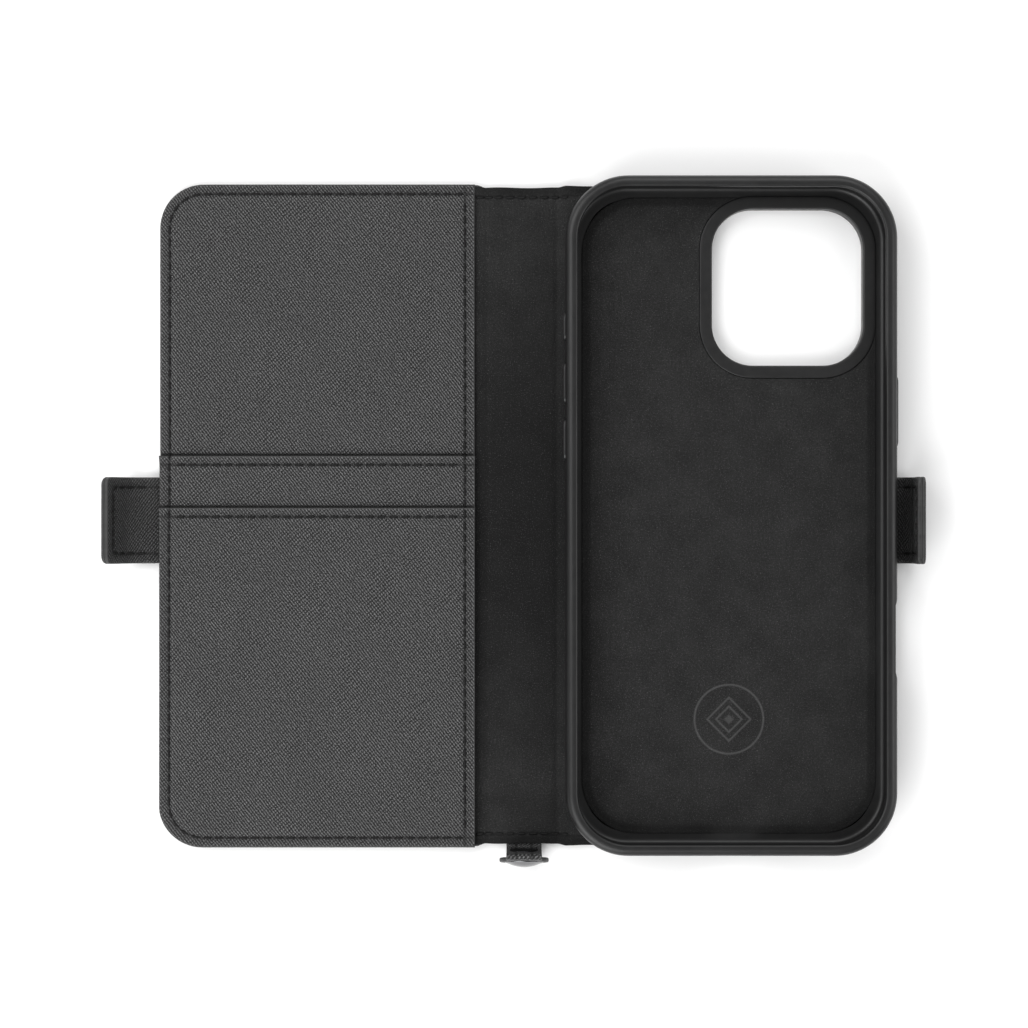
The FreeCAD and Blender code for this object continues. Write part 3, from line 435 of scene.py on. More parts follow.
def graded(low, high, soft_low, soft_high, step=1.6, fine=()):
    """Coordinates along one side, close together near soft edges and round fine places."""
    near = [0, 0.05, 0.15, 0.3, 0.5, 0.8, 1.15, 1.5, 1.8, 2.05, 2.25, 2.4, 2.5, 2.6, 2.75,
            2.95, 3.2, 3.6, 4.2, 5.0]
    values = []
    if soft_low:
        values += [low + n for n in near]
    if soft_high:
        values += [high - n for n in near]
    for place, reach, gap in fine:
        values += list(np.arange(place - reach, place + reach + gap / 2, gap))
    values += [low, high]
    values += list(np.linspace(low, high, max(2, int(round((high - low) / step)) + 1)))
    values = sorted(v for v in values if low - 1e-6 <= v <= high + 1e-6)
    kept = [values[0]]
    smallest = 0.045
    for value in values[1:]:
        if value - kept[-1] >= smallest:
            kept.append(value)
    kept[-1] = high
    return np.array(kept)


def round_corners(x, y, low, high, radii):
    """Pulls a rectangle's square corners in to quarter discs; radii go round from low x, low y."""
    x, y = x.copy(), y.copy()
    places = [(low[0], low[1], 1, 1), (high[0], low[1], -1, 1),
              (high[0], high[1], -1, -1), (low[0], high[1], 1, -1)]
    for (corner_x, corner_y, sx, sy), radius in zip(places, radii):
        if radius <= 0:
            continue
        centre_x, centre_y = corner_x + sx * radius, corner_y + sy * radius
        a, b = (centre_x - x) * sx, (centre_y - y) * sy
        inside = (a > 1e-9) & (b > 1e-9)
        reach = np.maximum(a, b)
        safe = np.where(reach > 0, reach, 1)
        angle = np.where(b <= a, math.pi / 4 * b / safe, math.pi / 2 - math.pi / 4 * a / safe)
        x = np.where(inside, centre_x - sx * reach * np.cos(angle), x)
        y = np.where(inside, centre_y - sy * reach * np.sin(angle), y)
    return x, y


def slab(name, x_lines, y_lines, radii, soft, top, bottom, materials, place=None, squeeze=None,
         seams=None, marks=None, inset_of=None):
    """A closed leather or cloth sheet.

    soft says which of its left, right, bottom and top sides are rounded edges. top and bottom give heights from x,
    y and the inset from the nearest soft side. squeeze moves the flat outline, and place bends the finished sheet.
    seams gives the gap to the nearest seam and marks the strength of an emblem or of a painted contact shadow.
    inset_of replaces the inset.
    """
    grid_x, grid_y = np.meshgrid(x_lines, y_lines, indexing="ij")
    low, high = (x_lines[0], y_lines[0]), (x_lines[-1], y_lines[-1])
    insets = [grid_x - low[0], high[0] - grid_x, grid_y - low[1], high[1] - grid_y]
    chosen = [value for value, is_soft in zip(insets, soft) if is_soft]
    inset = np.minimum.reduce(chosen) if chosen else np.full(grid_x.shape, 9.0)
    x, y = round_corners(grid_x, grid_y, low, high, radii)
    if squeeze:
        x, y = squeeze(x, y)
    if inset_of:
        inset = inset_of(x, y)
    upper, under = top(x, y, inset), bottom(x, y, inset)
    upper = np.maximum(upper, under)
    many = x.size
    points = np.concatenate([
        np.stack([x.ravel(), y.ravel(), upper.ravel()], 1),
        np.stack([x.ravel(), y.ravel(), under.ravel()], 1),
    ])
    index = np.arange(many).reshape(x.shape)
    quads = np.stack([index[:-1, :-1], index[1:, :-1], index[1:, 1:], index[:-1, 1:]], -1)
    quads = quads.reshape(-1, 4)
    ring = np.concatenate([index[:, 0], index[-1, 1:], index[-2::-1, -1], index[0, -2:0:-1]])
    after = np.roll(ring, -1)
    walls = np.stack([ring, ring + many, after + many, after], 1)
    faces = np.concatenate([quads, quads[:, ::-1] + many, walls])
    depth = np.concatenate([inset.ravel(), inset.ravel()])
    gap = seams(x, y, inset) if seams else np.abs(inset - STITCH_INSET)
    gap = np.concatenate([gap.ravel(), gap.ravel()])
    mark = marks(x, y).ravel() if marks else np.zeros(many)
    mark = np.concatenate([mark, np.zeros(many)])
    face_inset = depth[faces].mean(1)
    flat = points[:, :2].copy()
    if place:
        points = place(points)
    kinds = (face_inset < PAINTED_EDGE).astype(int) if len(materials) > 1 else None
    obj = as_object(name, points, faces, flat, depth, materials, kinds, gap, mark)
    weld(obj)
    return shade_by_angle(obj, SHEET_CREASE)


def rounding(inset, radius):
    """How far a rounded edge has dropped at an inset from the side."""
    near = np.clip(1 - inset / radius, 0, 1)
    return radius * (1 - np.sqrt(1 - near ** 2))


def ease(value, start, end):
    """Smooth step from 0 at start to 1 at end."""
    share = np.clip((value - start) / (end - start), 0, 1)
    return share * share * (3 - 2 * share)


def groove(distance, depth=0.2, width=0.42):
    """A soft channel pulled down by sewing."""
    return depth * np.exp(-(distance / width) ** 2)


def ripple(x, y, size, seed=0.0):
    """Slow uneven waves of worked leather and cloth."""
    return size * (
        0.5 * np.sin(0.061 * x + 0.083 * y + seed)
        + 0.3 * np.sin(0.117 * x - 0.071 * y + 1.7 * seed + 1.0)
        + 0.2 * np.sin(-0.043 * x + 0.161 * y + 2.3 * seed + 2.0)
    )


def rounded_outline(centre, width, length, radius, grow=0.0, turn_steps=14, side_steps=10):
    """Points round a rectangle with round corners, grown outwards, anticlockwise."""
    radius = max(radius + grow, 0.05)
    half_w, half_l = width / 2 + grow, length / 2 + grow
    points = []
    for corner, (sx, sy) in enumerate([(1, -1), (1, 1), (-1, 1), (-1, -1)]):
        middle = np.array([sx * (half_w - radius), sy * (half_l - radius)])
        for step in range(turn_steps + 1):
            angle = math.radians(-90 + 90 * corner + 90 * step / turn_steps)
            points.append(middle + radius * np.array([math.cos(angle), math.sin(angle)]))
        following = np.array([(1, 1), (-1, 1), (-1, -1), (1, -1)][corner])
        next_middle = following * np.array([half_w - radius, half_l - radius])
        angle = math.radians(90 * corner)
        next_start = next_middle + radius * np.array([math.cos(angle), math.sin(angle)])
        last = points[-1]
        for step in range(1, side_steps):
            points.append(last + (next_start - last) * step / side_steps)
    return np.array(points) + np.array(centre)


def swept_outline(name, outline, profile, materials, closed=True, frame_of=None):
    """Sweeps a profile of (grow, height) round an outline; open profiles get end caps."""
    rings = [np.column_stack([outline(grow), np.full(len(outline(grow)), height)])
             for grow, height in profile]
    count = len(rings[0])
    points = np.concatenate(rings)
    faces = []
    steps = len(rings) if closed else len(rings) - 1
    for row in range(steps):
        here, there = row * count, ((row + 1) % len(rings)) * count
        for column in range(count):
            after = (column + 1) % count
            faces.append((here + column, here + after, there + after, there + column))
    if not closed:
        faces.append(tuple(range(count))[::-1])
        faces.append(tuple(range((len(rings) - 1) * count, len(rings) * count)))
    flat = points[:, :2].copy()
    if frame_of:
        points = frame_of(points)
    return weld(as_object(name, points, faces, flat, None, materials), 0.001)


def arc(centre, radius, start, end, steps=6):
    """Profile points round an arc, angles in degrees."""
    angles = np.radians(np.linspace(start, end, steps + 1))
    return [(centre[0] + radius * math.cos(a), centre[1] + radius * math.sin(a)) for a in angles]


def cut(obj, *cutters):
    """Cuts closed cutters out of an object for good."""
    for cutter in cutters:
        modifier = obj.modifiers.new("cut", "BOOLEAN")
        modifier.operation = "DIFFERENCE"
        modifier.solver = "EXACT"
        modifier.object = cutter
        graph = bpy.context.evaluated_depsgraph_get()
        result = bpy.data.meshes.new_from_object(obj.evaluated_get(graph))
        obj.modifiers.clear()
        old, obj.data = obj.data, result
        result.name = obj.name
        bpy.data.meshes.remove(old)
        bpy.data.objects.remove(cutter, do_unlink=True)
    return obj


def window_cutter(grow, low, high):
    """A closed block of the camera window's outline."""
    def outline(extra):
        return rounded_outline((WINDOW_X, WINDOW_Y), WINDOW_W, WINDOW_L, WINDOW_R, grow + extra)
    return swept_outline("window_cutter", outline, [(0, low), (0, high)], (), closed=False)


def shade_by_angle(obj, degrees):
    """Keeps corners sharper than an angle crisp."""
    work = bmesh.new()
    work.from_mesh(obj.data)
    limit = math.radians(degrees)
    for edge in work.edges:
        sharp = len(edge.link_faces) == 2 and edge.calc_face_angle(0) > limit
        edge.smooth = not sharp
    work.to_mesh(obj.data)
    work.free()
    return obj


def fit(obj, body, nodes, blend_to=None):
    """Ties a finished piece to its body, or only bakes its placement when it is given a joint, and hides the CAD
    nodes it stands for.
    """
    if blend_to is None:
        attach(obj, body)
    else:
        other, start, end = blend_to
        start_m = tuple(float(v) * MM for v in start)
        end_m = tuple(float(v) * MM for v in end)
        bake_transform(obj)
    if nodes:
        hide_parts(*nodes)
    return obj


def lay(rests_on):
    """Turns what a sheet rests on into a list and keeps nothing of it."""
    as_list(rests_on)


# -------------------------------------------------------------------- sewing


def stitches(name, runs, material, width=0.58, rise=0.16, length=2.15, pitch=STITCH_PITCH):
    """Lock stitches along runs of (points, normals): twisted thread that dips at both ends."""
    sides, rows = 8, 9
    turns = np.linspace(0, 2 * math.pi, sides, endpoint=False)
    all_points, all_faces = [], []
    for path, normals in runs:
        path, normals = np.asarray(path, float), np.asarray(normals, float)
        gaps = np.linalg.norm(np.diff(path, axis=0), axis=1)
        along = np.concatenate([[0], np.cumsum(gaps)])
        total = along[-1]
        count = max(1, int(round(total / pitch)))
        spacing = total / count
        for number in range(count):
            middle = (number + 0.5) * spacing
            share = np.linspace(-0.5, 0.5, rows)
            where = np.clip(middle + share * length, 0, total)
            centre = np.stack([np.interp(where, along, path[:, k]) for k in range(3)], 1)
            normal = np.stack([np.interp(where, along, normals[:, k]) for k in range(3)], 1)
            normal /= np.linalg.norm(normal, axis=1)[:, None]
            heading = centre[-1] - centre[0]
            heading /= np.linalg.norm(heading)
            side = np.cross(normal, heading)
            arch = np.sqrt(np.clip(1 - (2 * share) ** 4, 0, 1))
            lift = rise * arch - 0.14 * (1 - arch)
            slant = 0.07 * share
            base = len(all_points) * sides
            for row in range(rows):
                size = width / 2 * (0.45 + 0.55 * arch[row])
                lobes = 1 + 0.16 * np.cos(2 * turns + share[row] * 11)
                ring = (
                    centre[row]
                    + normal[row] * lift[row]
                    + side[row] * slant[row]
                    + np.outer(np.cos(turns) * size * lobes, side[row])
                    + np.outer(np.sin(turns) * size * 0.72 * lobes, normal[row])
                )
                all_points.append(ring)
                if row:
                    here = base + row * sides
                    for column in range(sides):
                        after = (column + 1) % sides
                        all_faces.append((here - sides + column, here - sides + after,
                                          here + after, here + column))
            all_faces.append(tuple(base + k for k in range(sides))[::-1])
            last = base + (rows - 1) * sides
            all_faces.append(tuple(last + k for k in range(sides)))
    points = np.concatenate(all_points)
    return as_object(name, points, all_faces, None, None, [material])


def seam(start, end, surface, flip=False, step=0.8):
    """A run along a straight line on a surface given by its height."""
    start, end = np.array(start, float), np.array(end, float)
    count = max(2, int(np.linalg.norm(end - start) / step))
    line = start + np.outer(np.linspace(0, 1, count), end - start)
    height = surface(line[:, 0], line[:, 1])
    normals = np.tile(UP * (-1 if flip else 1), (count, 1))
    return np.column_stack([line, height]), normals


def curve_seam(centre, radius, start, end, surface, flip=False):
    """A run round a corner, angles in degrees."""
    angles = np.radians(np.linspace(start, end, 14))
    x, y = centre[0] + radius * np.cos(angles), centre[1] + radius * np.sin(angles)
    normals = np.tile(UP * (-1 if flip else 1), (len(x), 1))
    return np.column_stack([x, y, surface(x, y)]), normals


def joined_run(*parts):
    """Several runs sewn as one."""
    return np.concatenate([p[0] for p in parts]), np.concatenate([p[1] for p in parts])


# --------------------------------------------------------------- front cover

PINCH = 0.75


def pinch(inset):
    """How far the sewn border is pressed below the board's level."""
    return PINCH * (1 - ease(inset, 1.6, 4.2))


def cover_inset(x, y):
    """Distance from the nearest outer side of the cover, round its corners."""
    dx = x - PANEL_LOW[0]
    dy = np.minimum(y - PANEL_LOW[1], PANEL_HIGH[1] - y)
    inset = np.minimum(dx, dy)
    in_corner = (dx < COVER_CORNER) & (dy < COVER_CORNER)
    round_inset = COVER_CORNER - np.hypot(COVER_CORNER - dx, COVER_CORNER - dy)
    return np.where(in_corner, round_inset, inset)


def cover_seams(x, y, inset):
    """Gap to the perimeter seam or the inner edge's seam."""
    outer = np.abs(cover_inset(x, y) - STITCH_INSET)
    return np.minimum(outer, np.abs(PANEL_HIGH[0] - x - STITCH_INSET))


def hem_shadow_line(x, y):
    """Painted contact shadow: a dark line just above each pocket's mouth on the sheet behind it."""
    marks = [np.exp(-((y - hem - 0.20) / 0.42) ** 4) for hem in (UPPER_HIGH[1], LOWER_HIGH[1])]
    return marks[0] + marks[1]


def panel_top(x, y, inset=None):
    """Height of the inner panel."""
    inset = cover_inset(x, y) if inset is None else inset
    outer = cover_inset(x, y)
    inner = PANEL_HIGH[0] - x
    height = PANEL_HIGH[2] - pinch(outer) + ripple(x, y, 0.10, 0.4)
    height -= groove(outer - STITCH_INSET)
    height -= groove(inner - STITCH_INSET) * ease(outer, 1.0, 3.0)
    return height - groove(y - UPPER_HIGH[1] - 0.2, 0.14, 0.5)


def hem_lift(y, hem):
    """A pocket's mouth stands off the sheet below it a little."""
    return 0.30 * np.exp(-((hem - y) / 2.6) ** 2)


def pocket_top(x, y, hem, base):
    """Height of a card pocket over whatever lies below it."""
    outer = cover_inset(x, y)
    inner = PANEL_HIGH[0] - x
    middle = ease(np.minimum(outer, inner), 1.5, 6.0)
    height = base - pinch(outer) + ripple(x, y, 0.10, base)
    height += middle * (hem_lift(y, hem) + 0.05)
    height -= groove(outer - STITCH_INSET)
    height -= groove(inner - STITCH_INSET) * ease(outer, 1.0, 3.0)
    height -= groove(hem - y - HEM_INSET, 0.16) * middle
    return height


def upper_top(x, y):
    return pocket_top(x, y, UPPER_HIGH[1], UPPER_HIGH[2] - 0.10)


def lower_top(x, y):
    return pocket_top(x, y, LOWER_HIGH[1], LOWER_HIGH[2] - 0.15)


def cover_surface(x, y):
    """Top of the visible inner face of the cover."""
    height = panel_top(x, y)
    height = np.where(y < UPPER_HIGH[1], upper_top(x, y), height)
    return np.where(y < LOWER_HIGH[1], lower_top(x, y), height)


def make_panel(leather, edge):
    """The leather leaf that faces the phone's screen."""
    x_lines = graded(PANEL_LOW[0], PANEL_HIGH[0], True, True)
    y_lines = graded(PANEL_LOW[1], PANEL_HIGH[1], True, True, 1.6, [(UPPER_HIGH[1], 0.9, 0.1)])

    def top(x, y, inset):
        return panel_top(x, y) - rounding(inset, 0.32)

    def bottom(x, y, inset):
        lift = 0.72 * (1 - ease(cover_inset(x, y), 1.6, 4.0))
        return PANEL_LOW[2] - lift + rounding(inset, 0.32)

    # marks paints the contact shadow above each pocket's mouth.
    obj = slab("cover_panel_leather", x_lines, y_lines, [COVER_CORNER, 0, 0, COVER_CORNER],
               [True] * 4, top, bottom, [leather, edge], seams=cover_seams, marks=hem_shadow_line)
    fit(obj, "front_cover", ["cover_panel"])
    lay(["cover_board"])


def make_card_pocket(name, node, box, surface, below, leather, edge):
    """A card pocket with a folded hem along its mouth and an open slit behind it."""
    low, high = box
    hem = high[1]
    bump = 0.22
    x_lines = graded(low[0] - bump, high[0] + bump * 0.5, True, True)
    y_lines = graded(low[1], hem, True, True, 1.6, [(LOWER_HIGH[1], 0.9, 0.1)])

    def squeeze(x, y):
        near_hem = np.exp(-((hem - y) / 1.8) ** 2)
        middle = (low[0] + high[0]) / 2
        limit_low, limit_high = low[0] - 0.02, high[0] + 0.02
        outside_low = np.clip(limit_low - x, 0, None) * (1 - near_hem)
        outside_high = np.clip(x - limit_high, 0, None) * (1 - near_hem)
        return np.where(x < middle, x + outside_low, x - outside_high), y

    def top(x, y, inset):
        return surface(x, y) - rounding(inset, 0.34)

    def bottom(x, y, inset):
        outer = np.minimum(cover_inset(x, y), high[0] - x)
        middle = ease(outer, 3.2, 7.0)
        gap = 0.30 * middle * ease(y, hem - 30, hem)
        fold = 0.12 * ease(y, hem - 3.4, hem - 2.8)
        thick = 0.66 + fold - gap * 0.6
        return surface(x, y) - thick + rounding(inset, 0.3)

    def hem_seams(x, y, inset):
        return np.minimum(cover_seams(x, y, inset), np.abs(hem - y - HEM_INSET))

    # Painted contact shadow above the mouth of the pocket in front, kept off this pocket's own hem.
    def painted_hem_shade(x, y):
        return hem_shadow_line(x, y) * (y < hem - 2)

    obj = slab(name, x_lines, y_lines, [COVER_CORNER, 0, 0, 0], [True] * 4,
               top, bottom, [leather, edge], squeeze=squeeze, seams=hem_seams,
               marks=painted_hem_shade)
    fit(obj, "front_cover", [node])
    lay([below])


def sew_cover(material):
    """The cover's perimeter, inner-edge and hem seams."""
    left = PANEL_LOW[0] + STITCH_INSET
    right = PANEL_HIGH[0] - STITCH_INSET
    foot, head = PANEL_LOW[1] + STITCH_INSET, PANEL_HIGH[1] - STITCH_INSET
    radius = COVER_CORNER - STITCH_INSET
    perimeter = joined_run(
        seam((right, foot), (left + radius, foot), cover_surface),
        curve_seam((left + radius, foot + radius), radius, 270, 180, cover_surface),
        seam((left, foot + radius), (left, head - radius), cover_surface),
        curve_seam((left + radius, head - radius), radius, 180, 90, cover_surface),
        seam((left + radius, head), (right, head), cover_surface),
    )
    rows = (
        ("cover_perimeter_thread", "cover_stitching", [perimeter]),
        ("cover_inner_edge_thread", "panel_edge_stitching",
         [seam((right, foot + 2), (right, head - 2), cover_surface)]),
        ("upper_hem_thread", "pocket_stitching_upper",
         [seam((left + 1.5, UPPER_HIGH[1] - HEM_INSET), (right - 1.5, UPPER_HIGH[1] - HEM_INSET),
               cover_surface)]),
        ("lower_hem_thread", "pocket_stitching_lower",
         [seam((left + 1.5, LOWER_HIGH[1] - HEM_INSET), (right - 1.5, LOWER_HIGH[1] - HEM_INSET),
               cover_surface)]),
    )
    for name, node, runs in rows:
        obj = stitches(name, runs, material)
        fit(obj, "front_cover", [node])


# ------------------------------------------------------ leather skin and suede


def half_height(x):
    """Half the height of the case at a place across it: the spine is a little shorter."""
    cover, spine, back = SKIN_HIGH[1], SPINE_HIGH[1], BACK_HIGH[1]
    left = 1 - ease(x, COVER_CREASE[0] - 2.6, COVER_CREASE[0] - 0.4)
    right = ease(x, BACK_CREASE[0] + 0.4, BACK_CREASE[0] + 2.6)
    return spine + (cover - spine) * left + (back - spine) * right


def across_spine(side):
    """Where a sheet starts and stops turning at a crease: side -1 is the cover's crease."""
    crease = COVER_CREASE if side < 0 else BACK_CREASE
    outer = (crease[0] + side * FOLD_REACH, 0, crease[2])
    inner = (crease[0] - side * FOLD_REACH, 0, crease[2])
    return outer, inner


def skin_bottom(x, y, inset):
    """The outer face: flat on the table, with a sewn channel and rounded edges."""
    channel = groove(inset - STITCH_INSET, 0.24, 0.5)
    crease = sum(0.16 * np.exp(-((x - c) / 0.9) ** 2) for c in (COVER_CREASE[0], BACK_CREASE[0]))
    return 0.02 + channel + crease + rounding(inset, 0.42)


def skin_top(x, y, inset):
    return SKIN_HIGH[2] - rounding(inset, 0.35) - 0.03


def fine_folds(x_lines, *places):
    """Adds close lines round each crease."""
    extra = [p + np.arange(-2.4, 2.5, 0.2) for p in places]
    values = np.unique(np.round(np.concatenate([x_lines, *extra]), 3))
    values = values[(values >= x_lines[0]) & (values <= x_lines[-1])]
    keep = np.concatenate([[True], np.diff(values) > 0.04])
    values = values[keep]
    values[-1] = x_lines[-1]
    return values


def make_half(piece, tall, squeeze, top, bottom, materials, window, window_top):
    """One half of a sheet that is divided in the middle of the spine; the back's has a window."""
    name, low, high, crease, radii, soft, body, side, nodes, rests = piece
    x_lines = fine_folds(graded(low, high, soft[0], soft[1]), crease)
    y_lines = graded(-tall, tall, True, True)
    obj = slab(name, x_lines, y_lines, radii, soft, top, bottom, materials, squeeze=squeeze)
    if body == "back":
        cut(obj, window_cutter(window, -3, window_top))
    outer, inner = across_spine(side)
    fit(obj, body, nodes, ("spine", outer, inner))
    lay(rests)


def make_skin(leather, edge):
    """The outer leather as two pieces that meet in the middle of the spine."""
    tall = max(SKIN_HIGH[1], BACK_HIGH[1])

    def squeeze(x, y):
        return x, y * half_height(x) / tall

    pieces = (
        ("cover_leather", SKIN_LOW[0], SPINE_MIDDLE, COVER_CREASE[0],
         [COVER_CORNER, 0, 0, COVER_CORNER], [True, False, True, True],
         "front_cover", -1, ["cover_skin", "spine_skin"], ["cover_board"]),
        ("back_leather", SPINE_MIDDLE, BACK_HIGH[0], BACK_CREASE[0],
         [0, BACK_CORNER, BACK_CORNER, 0], [False, True, True, True],
         "back", 1, ["back_skin"], ["back_board"]),
    )
    for piece in pieces:
        make_half(piece, tall, squeeze, skin_top, skin_bottom, [leather, edge],
                  SKIN_WINDOW, 4)


def suede_top(x, y, inset):
    """The lining dips into each crease and climbs on to the back's board."""
    level = SUEDE_HIGH[2]
    climb = (LINING_HIGH[2] + 0.02 - level) * ease(x, BACK_CREASE[0] - 0.2, BACK_CREASE[0] + 3.2)
    on_back = ease(x, BACK_CREASE[0] + 3.5, BACK_CREASE[0] + 7)
    free = 1 - on_back
    crease = sum(0.22 * np.exp(-((x - c) / 0.8) ** 2) for c in (COVER_CREASE[0], BACK_CREASE[0]))
    wave = ripple(x * 1.6, y * 1.2, 0.22, 2.0) * free * ease(inset, 0, 5)
    pressed = 0.8 * on_back * (1 - ease(inset, 1.5, 4.0))
    channel = groove(inset - STITCH_INSET, 0.18)
    return level + climb + wave - crease * free - pressed - channel * free


def make_suede(nap):
    """The spine's lining: one half goes under the cover's leaf, the other under the tray."""
    tall = max(STRIP_HIGH[1], LINING_HIGH[1])
    lowest = SUEDE_LOW[2] - 0.02

    def squeeze(x, y):
        wavy = 1 + 0.0012 * np.sin(0.42 * x + 0.6)
        spine_only = np.where(x < BACK_CREASE[0] + 3, wavy, 1.0)
        return x, y * np.minimum(half_height(x), tall) / tall * spine_only

    def top(x, y, inset):
        return suede_top(x, y, inset) - rounding(inset, 0.25)

    def bottom(x, y, inset):
        on_back = ease(x, BACK_CREASE[0] + 3.5, BACK_CREASE[0] + 7)
        raised = (LINING_LOW[2] - lowest) * on_back * ease(inset, 1.5, 4.0)
        return lowest + raised + rounding(inset, 0.25)

    pieces = (
        ("spine_suede_cover_half", STRIP_LOW[0], SPINE_MIDDLE, COVER_CREASE[0], [0] * 4,
         [False, False, True, True], "front_cover", -1,
         ["cover_lining_strip", "spine_lining"], ["cover_leather"]),
        ("spine_suede_back_half", SPINE_MIDDLE, LINING_HIGH[0], BACK_CREASE[0],
         [0, BACK_CORNER, BACK_CORNER, 0], [False, True, True, True], "back", 1,
         ["back_lining"], ["back_leather"]),
    )
    for piece in pieces:
        make_half(piece, tall, squeeze, top, bottom, [nap], LINING_WINDOW, 6)


def sew_spine_and_outside(material):
    """Short seams over the spine, and the long seam round the outer face."""
    def suede_line(x, y):
        return suede_top(x, y, np.full(np.shape(x), STITCH_INSET)) + 0.05

    y = SPINE_HIGH[1] - STITCH_INSET
    low = COVER_CREASE[0] + 1.6
    high = BACK_CREASE[0] - 1.6
    runs = [seam((low, side * y), (high, side * y), suede_line) for side in (-1, 1)]
    obj = stitches("spine_thread", runs, material, rise=0.2)
    fit(obj, "spine", ["spine_stitching"])
    for name, body, first, last, side in (
        ("cover_crease_thread", "front_cover", PANEL_HIGH[0] + 0.2, low, -1),
        ("back_crease_thread", "back", high, SHELL_LOW[0] + 1.0, 1),
    ):
        runs = [seam((first, row * y), (last, row * y), suede_line) for row in (-1, 1)]
        obj = stitches(name, runs, material, rise=0.2, pitch=2.9)
        outer, inner = across_spine(side)
        fit(obj, body, [], ("spine", outer, inner))

    def under(x, y):
        return np.full(np.shape(x), 0.30)

    for name, body, x_low, x_high in (
        ("cover_outer_thread", "front_cover", SKIN_LOW[0], COVER_CREASE[0] - 2),
        ("spine_outer_thread", "spine", COVER_CREASE[0] + 2, BACK_CREASE[0] - 2),
        ("back_outer_thread", "back", BACK_CREASE[0] + 2, BACK_HIGH[0]),
    ):
        obj = stitches(name, outer_seam(body, x_low, x_high, under), material, rise=0.08)
        fit(obj, body, [])


def outer_seam(body, x_low, x_high, under):
    """Runs of the outer seam on one body."""
    half = half_height(np.array([(x_low + x_high) / 2]))[0] - STITCH_INSET
    if body == "spine":
        return [seam((x_low, s * half), (x_high, s * half), under, True) for s in (-1, 1)]
    if body == "front_cover":
        corner, edge_x, inward = COVER_CORNER - STITCH_INSET, x_low + STITCH_INSET, 1
        near = x_high
    else:
        corner, edge_x, inward = BACK_CORNER - STITCH_INSET, x_high - STITCH_INSET, -1
        near = x_low
    turn_x = edge_x + inward * corner
    top_angles = (90, 180) if inward > 0 else (90, 0)
    low_angles = (180, 270) if inward > 0 else (0, -90)
    return [joined_run(
        seam((near, half), (turn_x, half), under, True),
        curve_seam((turn_x, half - corner), corner, *top_angles, under, True),
        seam((edge_x, half - corner), (edge_x, -half + corner), under, True),
        curve_seam((turn_x, -half + corner), corner, *low_angles, under, True),
        seam((turn_x, -half), (near, -half), under, True),
    )]


# ------------------------------------------------------------------ phone tray

TRAY_W, TRAY_L, TRAY_R = 81.8, 168.0, 15.5
FLOOR_TOP = PAD_LOW[2]
TRAY_BASE = SHELL_HIGH[2] - 11.1
KEY_LEVEL = 8.4
KEY_HIDDEN = 1.2        # how much longer a key's flange is than its face
KEYS = (("action_button", -1), ("volume_up_button", -1),
        ("volume_down_button", -1), ("side_button", 1))
CAMERA_KEY_Y = -30.4
CAMERA_KEY_SLOT, CAMERA_KEY_RECESS = (21.0, 5.0), (23.2, 9.5)
PORT_SLOT, PORT_RECESS = (13.4, 6.2), (15.0, 7.6)
GRILLE_X, GRILLE_SLOT = 18.5, (13.0, 3.0)


def tray_outline(grow):
    return rounded_outline((0, 0), TRAY_W, TRAY_L, TRAY_R, grow, 22, 40)


def stadium(centre, length, width, grow=0.0):
    """Outline of a pill, long along its first axis."""
    return rounded_outline(centre, length, width, width / 2 - 0.02, grow, 12, 4)


def wall_cutter(side, centre_y, length, width, start, end):
    """A pill-shaped block that runs out through a long wall."""
    def frame_of(points):
        x = start + (end - start) * points[:, 2]
        return np.column_stack([x * side, points[:, 0], points[:, 1]])

    def outline(grow):
        return stadium((centre_y, KEY_LEVEL), length, width, grow)
    return swept_outline("wall_cutter", outline, [(0, 0), (0, 1)], (), False, frame_of)


def end_cutter(centre_x, length, width, start, end):
    """A pill-shaped block that runs out through the bottom wall."""
    def frame_of(points):
        y = start + (end - start) * points[:, 2]
        return np.column_stack([points[:, 0], -y, points[:, 1]])

    def outline(grow):
        return stadium((centre_x, KEY_LEVEL), length, width, grow)
    return swept_outline("end_cutter", outline, [(0, 0), (0, 1)], (), False, frame_of)


